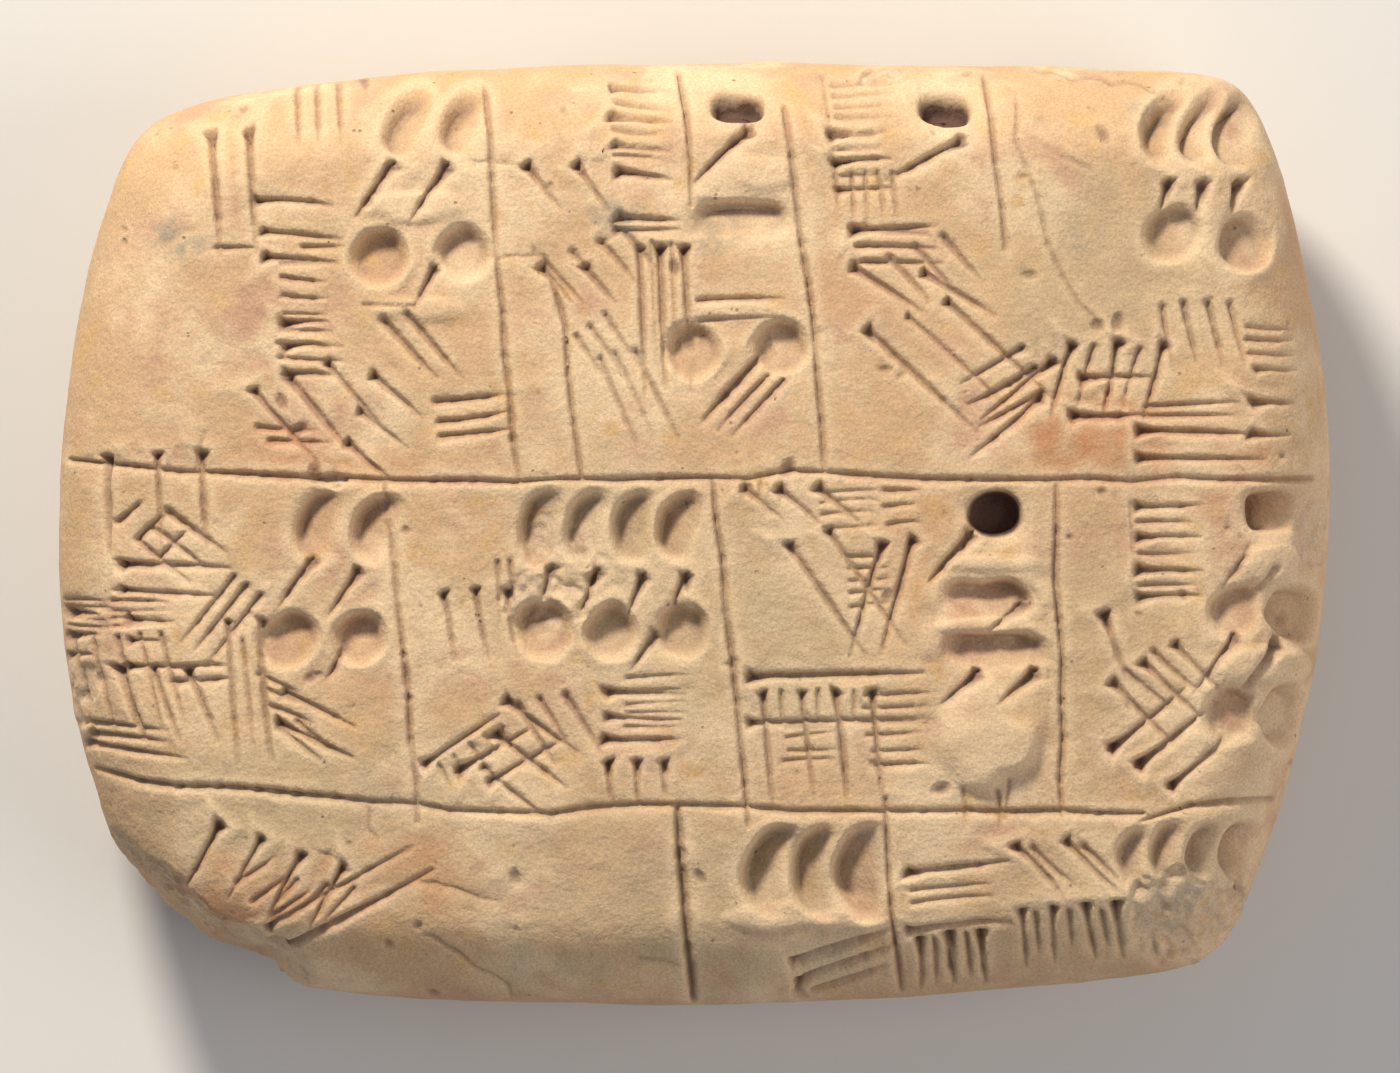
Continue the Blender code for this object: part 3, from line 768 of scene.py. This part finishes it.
def wear_flakes():
    """Takes thin ragged flakes off the face and leaves it rough there."""
    for place, half_size, depth in FLAKES:
        centre = to_mm(place)
        reach = np.array(half_size) * FLAKE_REACH
        spot, x, y = relief.window(centre - reach, centre + reach)
        away = np.hypot((x - centre[0]) / half_size[0], (y - centre[1]) / half_size[1])
        inside = smooth((FLAKE_SIZE - away - over_face(x, y, *FLAKE_OUTLINE)) * FLAKE_STEEPNESS)
        rough = (FLAKE_FLOOR_SHARES[0] + FLAKE_FLOOR_SHARES[1] * depth) * over_face(x, y, *FLAKE_FLOOR)
        relief.swell[spot] -= inside * (depth + rough)
        relief.rough[spot] = np.maximum(relief.rough[spot], inside)


# How many times a grid is blurred each way, and a swelling's reach, ragged rim and slopes
SPREADS = 3
SWELLING_REACH = 1.2
SWELLING_RIM = (0.35, 2.6, 31.0)
SWELLING_STEEPNESS = 1.2
SWELLING_FADE = 4.0
# Edges: the blur's half width in cells, the rise that brings a full painted highlight, the drop
# that brings full painted shade
EDGE_HALF = 6
HIGHLIGHT_RISE = 0.09
HOLLOW_SHADE_DROP = 0.28
# Painted shade in hollows lies mostly in narrow marks, and broad ones get less of it: their mean
# depth round about
BROAD_FROM = 0.28
BROAD_RANGE = 0.35
BROAD_UNSHADED = 0.85
# The sunk ground: the blur's half width in cells, the most depth that counts, gain and limit
TROUGH_HALF = 8
TROUGH_DEEPEST = 0.9
TROUGH_GAIN = 2.1
TROUGH_LIMIT = 0.42


def box_mean(grid, half, axis):
    """The mean of the cells up to half a width away along one axis."""
    margins = [(half + 1, half) if side == axis else (0, 0) for side in (0, 1)]
    total = np.cumsum(np.pad(grid, margins, mode="edge"), axis=axis)
    size = 2 * half + 1
    if axis == 0:
        return (total[size:] - total[:-size]) / size
    return (total[:, size:] - total[:, :-size]) / size


def spread_out(grid, half):
    """Blurs a grid by means of the cells up to half a width away."""
    for axis in (0, 1) * SPREADS:
        grid = box_mean(grid, half, axis)
    return grid


def sink_round_marks():
    """The clay sinks a little for a few millimetres round each mark, so what is left swells."""
    spread = spread_out(np.minimum(relief.pressed, TROUGH_DEEPEST), TROUGH_HALF)
    relief.swell -= TROUGH_LIMIT * np.tanh(spread * TROUGH_GAIN / TROUGH_LIMIT)
    for place, (half_along, half_across), height in SWELLINGS:
        centre = to_mm(place)
        reach = np.array((half_along, half_across)) * SWELLING_REACH
        spot, x, y = relief.window(centre - reach, centre + reach)
        away = ((x - centre[0]) / half_along) ** 2 + ((y - centre[1]) / half_across) ** 2
        inside = smooth(SWELLING_STEEPNESS * (1 - away - over_face(x, y, SWELLING_RIM)))
        relief.swell[spot] += height * inside * smooth(SWELLING_FADE * (SWELLING_REACH - away))


# Slow waves on the face, in the depth of marks and in the height of lips, as layers of noise
FACE_WAVES = ((0.16, 9.0, 3.3), (0.095, 3.4, 8.1), (0.045, 1.5, 15.7), (0.016, 0.7, 23.2))
DEPTH_WAVES = ((0.14, 5.0, 12.4), (0.05, 1.6, 5.9))
LIP_WAVES = ((0.5, 2.6, 17.0),)
LIPS_LEFT = 0.7


def weather():
    """Lays slow waves over the face and wears marks and lips unevenly."""
    x = relief.x[None, :]
    y = relief.y[:, None]
    relief.swell += over_face(x, y, *FACE_WAVES)
    relief.pressed *= 1 + over_face(x, y, *DEPTH_WAVES)
    relief.raised *= LIPS_LEFT + over_face(x, y, *LIP_WAVES)


def find_edges():
    """How far each place stands above or below what is round it, from 0 to 1."""
    height = relief.raised - relief.pressed + relief.swell
    over = height - spread_out(height, EDGE_HALF)
    # Places standing above their surroundings get a painted highlight
    relief.worn = np.clip(over / HIGHLIGHT_RISE, 0, 1)
    # Sunk places get painted shade, less of it in broad marks
    broad = spread_out(relief.pressed, TROUGH_HALF)
    narrow = 1 - smooth((broad - BROAD_FROM) / BROAD_RANGE)
    relief.hollow = np.clip(-over / HOLLOW_SHADE_DROP, 0, 1) * (1 - BROAD_UNSHADED + BROAD_UNSHADED * narrow)


def soften(grid, rounds):
    """Takes the sharpness off edges."""
    for _ in range(rounds):
        grid[1:-1] = (grid[:-2] + 2 * grid[1:-1] + grid[2:]) / 4
        grid[:, 1:-1] = (grid[:, :-2] + 2 * grid[:, 1:-1] + grid[:, 2:]) / 4


# A break: how rounded its edge is, its ripples as layers of noise, how fast it ends past its
# two ends, from which depths on it counts as cut and as rough, and the most widths
# of its edge that are reckoned
BREAK_EDGE = 0.00022
RIPPLES = ((0.6, 2.6, 4.4), (0.3, 0.9, 9.1), (0.15, 0.4, 2.2))
BREAK_FADE = 1.5
BREAK_LIMIT = 30
CUT_FROM = 0.05
ROUGH_FROM = 0.3
ROUGH_DEPTH = 0.4 * MM


def break_away(points):
    """Knocks the broken corners off, each along a rough plane. Returns how rough each point is."""
    rough = np.zeros(len(points))
    for start, end, height_share, lean, coarse in BREAKS:
        first = to_mm(start) * MM
        second = to_mm(end) * MM
        run = second - first
        middle = (first + second) / 2
        outward = np.array((-run[1], run[0])) / np.hypot(*run)
        if outward @ middle < 0:
            outward = -outward
        tilt = math.radians(lean)
        normal = np.array((*(outward * math.cos(tilt)), math.sin(tilt)))
        place = np.array((*middle, height_share * THICKNESS))
        x, y, z = points.T / MM
        ripple = layered(x, y, z, RIPPLES) * coarse * MM
        beyond = (points - place) @ normal - ripple
        half_run = np.hypot(*run) / 2
        past_end = np.abs((points[:, :2] - middle) @ run) / np.hypot(*run) - half_run
        beyond -= BREAK_FADE * np.maximum(past_end, 0)
        past_plane = np.clip(beyond / BREAK_EDGE, -BREAK_LIMIT, BREAK_LIMIT)
        cut = BREAK_EDGE * np.log1p(np.exp(past_plane))
        cut *= smooth(cut / BREAK_EDGE - CUT_FROM)
        points -= cut[:, None] * normal
        rough = np.maximum(rough, smooth(cut / ROUGH_DEPTH - ROUGH_FROM))
    return rough


def tablet_mesh():
    """A cube cut into cells, to be drawn out to the tablet's form."""
    shape = bmesh.new()
    bmesh.ops.create_cube(shape, size=2.0)
    for axis, cells in enumerate(COARSE_CELLS):
        edges = [edge for edge in shape.edges
                 if abs(edge.verts[0].co[axis] - edge.verts[1].co[axis]) > TINY]
        bmesh.ops.subdivide_edges(shape, edges=edges, cuts=cells - 1, use_grid_fill=True)
    upper = [edge for edge in shape.edges
             if min(edge.verts[0].co.z, edge.verts[1].co.z) > -TINY]
    bmesh.ops.subdivide_edges(shape, edges=upper, cuts=FINE_CUTS, use_grid_fill=True)
    mesh = bpy.data.meshes.new("tablet_surface")
    shape.to_mesh(mesh)
    shape.free()
    return mesh


def read_vectors(rows, name):
    values = np.zeros(len(rows) * 3, np.float32)
    rows.foreach_get(name, values)
    return values.reshape(-1, 3).astype(float)


def write_points(mesh, points):
    mesh.vertices.foreach_set("co", points.astype(np.float32).ravel())
    mesh.update()


# How far points slide and how often, how far off the slope is read, and the least slope reckoned
SLIDE = 0.018
SLIDES = 3
PROBE = 0.05
LEAST_SLOPE = 0.06


def slide_to_marks(points, upper):
    """Moves points by less than half a cell to the bottom of a mark, so that its line is whole."""
    for _ in range(SLIDES):
        x, y = points[:, 0] / MM, points[:, 1] / MM
        slopes = [relief.sample(relief.pressed, x + along, y + across)
                  - relief.sample(relief.pressed, x - along, y - across)
                  for along, across in ((PROBE, 0), (0, PROBE))]
        steep = np.maximum(np.hypot(*slopes), LEAST_SLOPE)
        for axis, slope in enumerate(slopes):
            points[:, axis] += SLIDE * MM * upper * slope / steep


# The relief and the face's roughness fade in within these turns up from the girdle, in degrees
RELIEF_TURN = 35
ROUGH_TURN = 12
# Dents on the edge and the back, and crumbs on breaks, as layers of noise
DENTS = ((0.30, 14.0, 6.6), (0.12, 5.0, 1.9), (0.04, 1.8, 11.3), (0.02, 0.8, 13.1))
DENTS_DROP = 0.15
CRUMBS = ((0.26, 1.5, 25.1), (0.20, 0.65, 29.3))


def carve(mesh):
    """Draws the cube out to the cushion form and sinks the relief into it."""
    points, turn = cushion(read_vectors(mesh.vertices, "co"))
    upper = smooth(turn / math.radians(RELIEF_TURN))
    slide_to_marks(points, upper)
    write_points(mesh, points)
    outward = read_vectors(mesh.vertex_normals, "vector")
    x, y, z = points.T / MM
    marks = relief.sample(relief.raised - relief.pressed + relief.swell, x, y) * upper
    dents = (layered(x, y, z, DENTS) - DENTS_DROP) * (1 - upper)
    points += outward * ((marks + dents) * MM)[:, None]
    broken = break_away(points)
    worn_rough = relief.sample(relief.rough, x, y) * smooth(turn / math.radians(ROUGH_TURN))
    crumbs = np.maximum(broken, worn_rough) * layered(x, y, z, CRUMBS)
    points += outward * (crumbs * MM)[:, None]
    points[:, 2] = np.maximum(points[:, 2], 0)
    write_points(mesh, points)
    mark_surface(mesh, x, y, z, broken)


def fewer_triangles(piece):
    modifier = piece.modifiers.new("fewer", "DECIMATE")
    piece.data.calc_loop_triangles()
    modifier.ratio = min(1.0, TRIANGLES / len(piece.data.loop_triangles))
    graph = bpy.context.evaluated_depsgraph_get()
    mesh = bpy.data.meshes.new_from_object(piece.evaluated_get(graph))
    piece.modifiers.clear()
    piece.data = mesh
    mesh.name = "tablet_surface"
    mesh.shade_smooth()


def store(mesh, name, values):
    attribute = mesh.attributes.new(name, "FLOAT", "POINT")
    attribute.data.foreach_set("value", values.astype(np.float32))


# Patches of another colour on the face: place, half size in millimetres, strength
GREY_PATCHES = (
    ((-795, 613), (2.8, 1.6), 0.8),
    ((-133, 666), (2.6, 1.6), 0.7),
    ((32, 624), (2.0, 2.0), 0.6),
    ((604, 602), (1.6, 2.4), 0.5),
    ((714, 888), (1.6, 1.0), 0.7),
    ((770, -755), (4.4, 3.2), 0.50),
)
OLIVE_PATCHES = (
    ((-150, -50), (9.0, 7.0), 0.55),
    ((100, -250), (10.0, 8.0), 0.60),
    ((620, 550), (9.0, 9.0), 0.55),
    ((620, -200), (7.0, 8.0), 0.45),
    ((-620, -600), (13.0, 6.0), 0.75),
    ((-50, -750), (15.0, 7.0), 0.65),
    ((550, -780), (9.0, 6.0), 0.40),
)
# Pale clay in places, and painted highlight on the large swellings and at the scar's lower edge
PALE_AND_HIGHLIGHT_PATCHES = (
    ((467, -430), (4.2, 4.0), 0.75),
    ((-430, 700), (4.4, 1.8), 0.60),
    ((895, -60), (2.4, 2.2), 0.60),
    ((100, 770), (2.6, 2.6), 0.50),
    ((-190, -120), (6.5, 1.8), 0.45),
    ((140, -830), (5.0, 1.6), 0.45),
    ((800, 480), (4.0, 2.0), 0.40),
    ((870, -290), (3.5, 2.0), 0.45),
    ((810, -880), (2.6, 1.1), 0.80),
)
RED_PATCHES = (
    ((683, 205), (8.0, 2.8), 1.0),
    ((-630, 195), (3.0, 1.2), 0.8),
    ((550, 290), (5.0, 2.0), 0.4),
    ((-690, -760), (9.0, 3.0), 0.7),
    ((-430, -700), (4.0, 3.0), 0.6),
    ((-560, 150), (8.0, 1.6), 0.5),
    ((900, 100), (5.0, 2.0), 0.4),
    ((330, -60), (4.0, 4.5), 0.30),
    ((250, 520), (3.5, 2.5), 0.25),
)

# Each kind of patch, with the shift of its outline's noise
PATCH_KINDS = (
    ("grey", GREY_PATCHES, 5.0),
    ("red", RED_PATCHES, 9.0),
    ("olive", OLIVE_PATCHES, 3.0),
    ("pale_and_highlight", PALE_AND_HIGHLIGHT_PATCHES, 7.0),
)
PATCH_SIZE = 1.3
PATCH_RAGGED = 0.5
PATCH_BUMPS = 1.6
# The colours fade in within this height above the girdle, in millimetres
COLOUR_RISE = 2.0


def patch_values(patches, x, y, shift):
    total = np.zeros(len(x))
    for place, half_size, strength in patches:
        centre = to_mm(place)
        away = np.hypot((x - centre[0]) / half_size[0], (y - centre[1]) / half_size[1])
        ragged = away + over_face(x, y, (PATCH_RAGGED, PATCH_BUMPS, shift))
        total = np.maximum(total, strength * smooth(PATCH_SIZE - ragged))
    return total


def mark_surface(mesh, x, y, z, broken):
    """Stores what the clay's colours depend on, by each point's place before the relief."""
    above = smooth((z - GIRDLE_HEIGHT / MM) / COLOUR_RISE)
    grids = {"worn": relief.worn, "rough": relief.rough, "hollow": relief.hollow, "dirt_and_shade": relief.dirt_and_shade}
    for name, grid in grids.items():
        store(mesh, name, relief.sample(grid, x, y) * above)
    for name, patches, shift in PATCH_KINDS:
        store(mesh, name, patch_values(patches, x, y, shift) * above)
    store(mesh, "broken", broken)


# The clay's material

CLAY = (0.60, 0.395, 0.225, 1)
PALE = (0.74, 0.550, 0.350, 1)
PINK = (0.56, 0.340, 0.215, 1)
OCHRE = (0.62, 0.40, 0.19, 1)
RED = (0.52, 0.250, 0.120, 1)
GREY = (0.37, 0.305, 0.225, 1)
OLIVE = (0.51, 0.395, 0.240, 1)
# Cool brown for painted shade in hollows
HOLLOW_SHADE = (0.30, 0.200, 0.150, 1)
# Dark brown for dirt and painted shade in the marks, also used for the dark specks
DIRT_AND_SHADE = (0.125, 0.070, 0.050, 1)
BREAK = (0.66, 0.490, 0.335, 1)

# Clouds in the clay: their scale and detail, where they begin and end, and their colour
CLOUDS = (
    (90, 4, 0.42, 0.62, PALE),
    (170, 4, 0.50, 0.70, PINK),
    (320, 3, 0.54, 0.72, OCHRE),
)
# Colours laid over that, each where the mesh has its value: the value's name, the colour, and
# either the share that it is mixed by or the scale and limits of a noise that thins it out
COATS = (
    ("olive", OLIVE, 1.0),
    # Pale clay, and painted highlight on the swellings
    ("pale_and_highlight", PALE, 1.0),
    ("red", RED, 1.0),
    # Painted highlight on raised edges and ridges
    ("worn", PALE, 0.60),
    # Painted shade in hollows
    ("hollow", HOLLOW_SHADE, 0.48),
    ("rough", BREAK, (1100, 0.35, 0.65)),
    ("grey", GREY, (900, 0.35, 0.60)),
    ("broken", BREAK, 0.2),
    # Dirt and painted shade in the marks
    ("dirt_and_shade", DIRT_AND_SHADE, (700, 0.25, 0.65, 0.42, 0.85)),
)
# Dark specks: the scale of their cells, their limits in a cell, the clouds they gather in, and
# how dark they are
SPECK_SCALE = 1300.0
SPECK_LIMITS = (0.24, 0.12)
SPECK_CLOUDS = (520, 2)
SPECK_CLOUD_LIMITS = (0.62, 0.70)
SPECK_DARKNESS = 0.6
# Noises for the grain's brightness and for the dullness, with their limits and results
GRAIN = (5200, 3, 0.7)
GRAIN_RANGE = (0.3, 0.7, 0.86, 1.14)
DULLNESS = (260, 3)
DULLNESS_RANGE = (0.3, 0.7, 0.78, 0.95)
SHINE = 0.3
# Bumps too small for the mesh: strength, and height in metres
GRAIN_BUMP = (0.5, 0.00012)
GRAIN_BUMP_NOISE = (2600, 3)
PORE_BUMP = (0.5, 0.0001)
LUMP_BUMP = (0.7, 0.0003)
LUMP_BUMP_NOISE = (700, 5, 0.6)


class Nodes:
    """A material's nodes, added one by one and linked as they are made."""

    def __init__(self, material):
        material.use_nodes = True
        self.tree = material.node_tree
        self.shader = self.tree.nodes["Principled BSDF"]

    def add(self, kind, inputs=(), **settings):
        node = self.tree.nodes.new(kind)
        for name, value in settings.items():
            setattr(node, name, value)
        for name, value in dict(inputs).items():
            self.set(node.inputs[name], value)
        return node

    def set(self, socket, value):
        if isinstance(value, bpy.types.NodeSocket):
            self.tree.links.new(value, socket)
        else:
            socket.default_value = value

    def noise(self, place, scale, detail=3.0, roughness=0.55):
        return self.add("ShaderNodeTexNoise", {"Vector": place, "Scale": scale, "Detail": detail,
                                               "Roughness": roughness}).outputs["Fac"]

    def spread(self, value, low, high, start=0.0, end=1.0):
        return self.add("ShaderNodeMapRange", {0: value, 1: low, 2: high, 3: start, 4: end},
                        interpolation_type="SMOOTHSTEP").outputs[0]

    def bump(self, size, height, under=None):
        """Bumps of a strength and height in metres, over the bumps given as under."""
        inputs = {"Strength": size[0], "Distance": size[1], "Height": height}
        if under is not None:
            inputs["Normal"] = under
        return self.add("ShaderNodeBump", inputs).outputs[0]

    def mix(self, share, first, second, blend="MIX"):
        node = self.add("ShaderNodeMix", data_type="RGBA", blend_type=blend)
        self.set(node.inputs[0], share)
        self.set(node.inputs[6], first)
        self.set(node.inputs[7], second)
        return node.outputs[2]

    def math(self, operation, first, second):
        return self.add("ShaderNodeMath", {0: first, 1: second}, operation=operation).outputs[0]

    def read(self, name):
        return self.add("ShaderNodeAttribute", attribute_name=name).outputs["Fac"]


def clay_material():
    material = bpy.data.materials.new("clay_surface")
    nodes = Nodes(material)
    place = nodes.add("ShaderNodeTexCoord").outputs["Object"]
    colour = CLAY
    for scale, detail, low, high, shade in CLOUDS:
        colour = nodes.mix(nodes.spread(nodes.noise(place, scale, detail), low, high), colour, shade)
    for name, shade, share in COATS:
        if isinstance(share, tuple):
            share = nodes.spread(nodes.noise(place, share[0]), *share[1:])
        colour = nodes.mix(nodes.math("MULTIPLY", nodes.read(name), share), colour, shade)
    cells = nodes.add("ShaderNodeTexVoronoi", {"Vector": place, "Scale": SPECK_SCALE})
    specks = nodes.spread(cells.outputs["Distance"], *SPECK_LIMITS)
    chosen = nodes.spread(nodes.noise(place, *SPECK_CLOUDS), *SPECK_CLOUD_LIMITS)
    dark = nodes.math("MULTIPLY", specks, chosen)
    colour = nodes.mix(nodes.math("MULTIPLY", dark, SPECK_DARKNESS), colour, DIRT_AND_SHADE)
    brightness = nodes.spread(nodes.noise(place, *GRAIN), *GRAIN_RANGE)
    colour = nodes.mix(1.0, colour, brightness, "MULTIPLY")
    nodes.set(nodes.shader.inputs["Base Color"], colour)
    dullness = nodes.spread(nodes.noise(place, *DULLNESS), *DULLNESS_RANGE)
    nodes.set(nodes.shader.inputs["Roughness"], dullness)
    nodes.set(nodes.shader.inputs["Specular IOR Level"], SHINE)
    grain = nodes.bump(GRAIN_BUMP, nodes.noise(place, *GRAIN_BUMP_NOISE))
    pores = nodes.bump(PORE_BUMP, nodes.math("MULTIPLY", dark, -1.0), grain)
    lumps = nodes.bump(LUMP_BUMP, nodes.noise(place, *LUMP_BUMP_NOISE), pores)
    nodes.set(nodes.shader.inputs["Normal"], lumps)
    return material


# The stage, the light and the camera

FLOOR_HALF = 2.0
FLOOR_DROP = 0.00005
FLOOR_COLOUR = (0.74, 0.73, 0.71, 1)
FLOOR_ROUGHNESS = 0.9
ROOM_COLOUR = (0.72, 0.77, 0.90, 1)
ROOM_STRENGTH = 0.28
# Lights: name, place, size, power in watts and colour
LIGHTS = (
    ("key", (-0.175, 0.405, 0.28), 0.11, 3.40, (1.0, 0.915, 0.78)),
    ("fill", (0.50, -0.13, 0.45), 0.50, 1.75, (1.0, 0.915, 0.81)),
)
# The camera, with the frame's width in pixels and its pixels to a millimetre
CAMERA_PLACE = (0.00041, -0.00011, 1.5)
PHOTO_WIDTH = 1400
PHOTO_SCALE = 13.56
SENSOR = 36.0
NEAR_CLIP = 0.01
FAR_CLIP = 20


def area_light(name, place, size, power, colour):
    data = bpy.data.lights.new(name, "AREA")
    data.shape = "DISK"
    data.size = size
    data.energy = power
    data.color = colour
    light = bpy.data.objects.new(name, data)
    light.location = place
    light.rotation_euler = (-Vector(place)).to_track_quat("-Z", "Y").to_euler()
    bpy.context.scene.collection.objects.link(light)


def make_stage():
    mesh = bpy.data.meshes.new("floor")
    shape = bmesh.new()
    bmesh.ops.create_grid(shape, x_segments=1, y_segments=1, size=FLOOR_HALF)
    shape.to_mesh(mesh)
    shape.free()
    floor = bpy.data.objects.new("floor", mesh)
    floor.location.z = -FLOOR_DROP
    material = bpy.data.materials.new("floor_paper")
    nodes = Nodes(material)
    nodes.set(nodes.shader.inputs["Base Color"], FLOOR_COLOUR)
    nodes.set(nodes.shader.inputs["Roughness"], FLOOR_ROUGHNESS)
    mesh.materials.append(material)
    bpy.context.scene.collection.objects.link(floor)
    world = bpy.data.worlds.new("soft_room")
    world.use_nodes = True
    background = world.node_tree.nodes["Background"]
    background.inputs["Color"].default_value = ROOM_COLOUR
    background.inputs["Strength"].default_value = ROOM_STRENGTH
    bpy.context.scene.world = world
    for light in LIGHTS:
        area_light(*light)


def make_camera():
    data = bpy.data.cameras.new("camera")
    data.sensor_width = SENSOR
    half_width = PHOTO_WIDTH / 2 / PHOTO_SCALE * MM
    data.lens = SENSOR / 2 * (CAMERA_PLACE[2] - GIRDLE_HEIGHT) / half_width
    data.clip_start = NEAR_CLIP
    data.clip_end = FAR_CLIP
    camera = bpy.data.objects.new("camera", data)
    camera.location = CAMERA_PLACE
    bpy.context.scene.collection.objects.link(camera)
    bpy.context.scene.camera = camera


def main():
    press_marks()
    draw_marks()
    sink_round_marks()
    scatter_pits()
    wear_flakes()
    soften(relief.pressed, 1)
    soften(relief.raised, 2)
    soften(relief.dirt_and_shade, 3)
    weather()
    find_edges()
    piece = bpy.data.objects.new("tablet_clay", tablet_mesh())
    bpy.context.scene.collection.objects.link(piece)
    carve(piece.data)
    fewer_triangles(piece)
    piece.data.materials.append(clay_material())
    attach(piece, "root")
    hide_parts("tablet")
    bpy.context.scene.view_settings.view_transform = "Standard"
    make_stage()
    make_camera()


main()
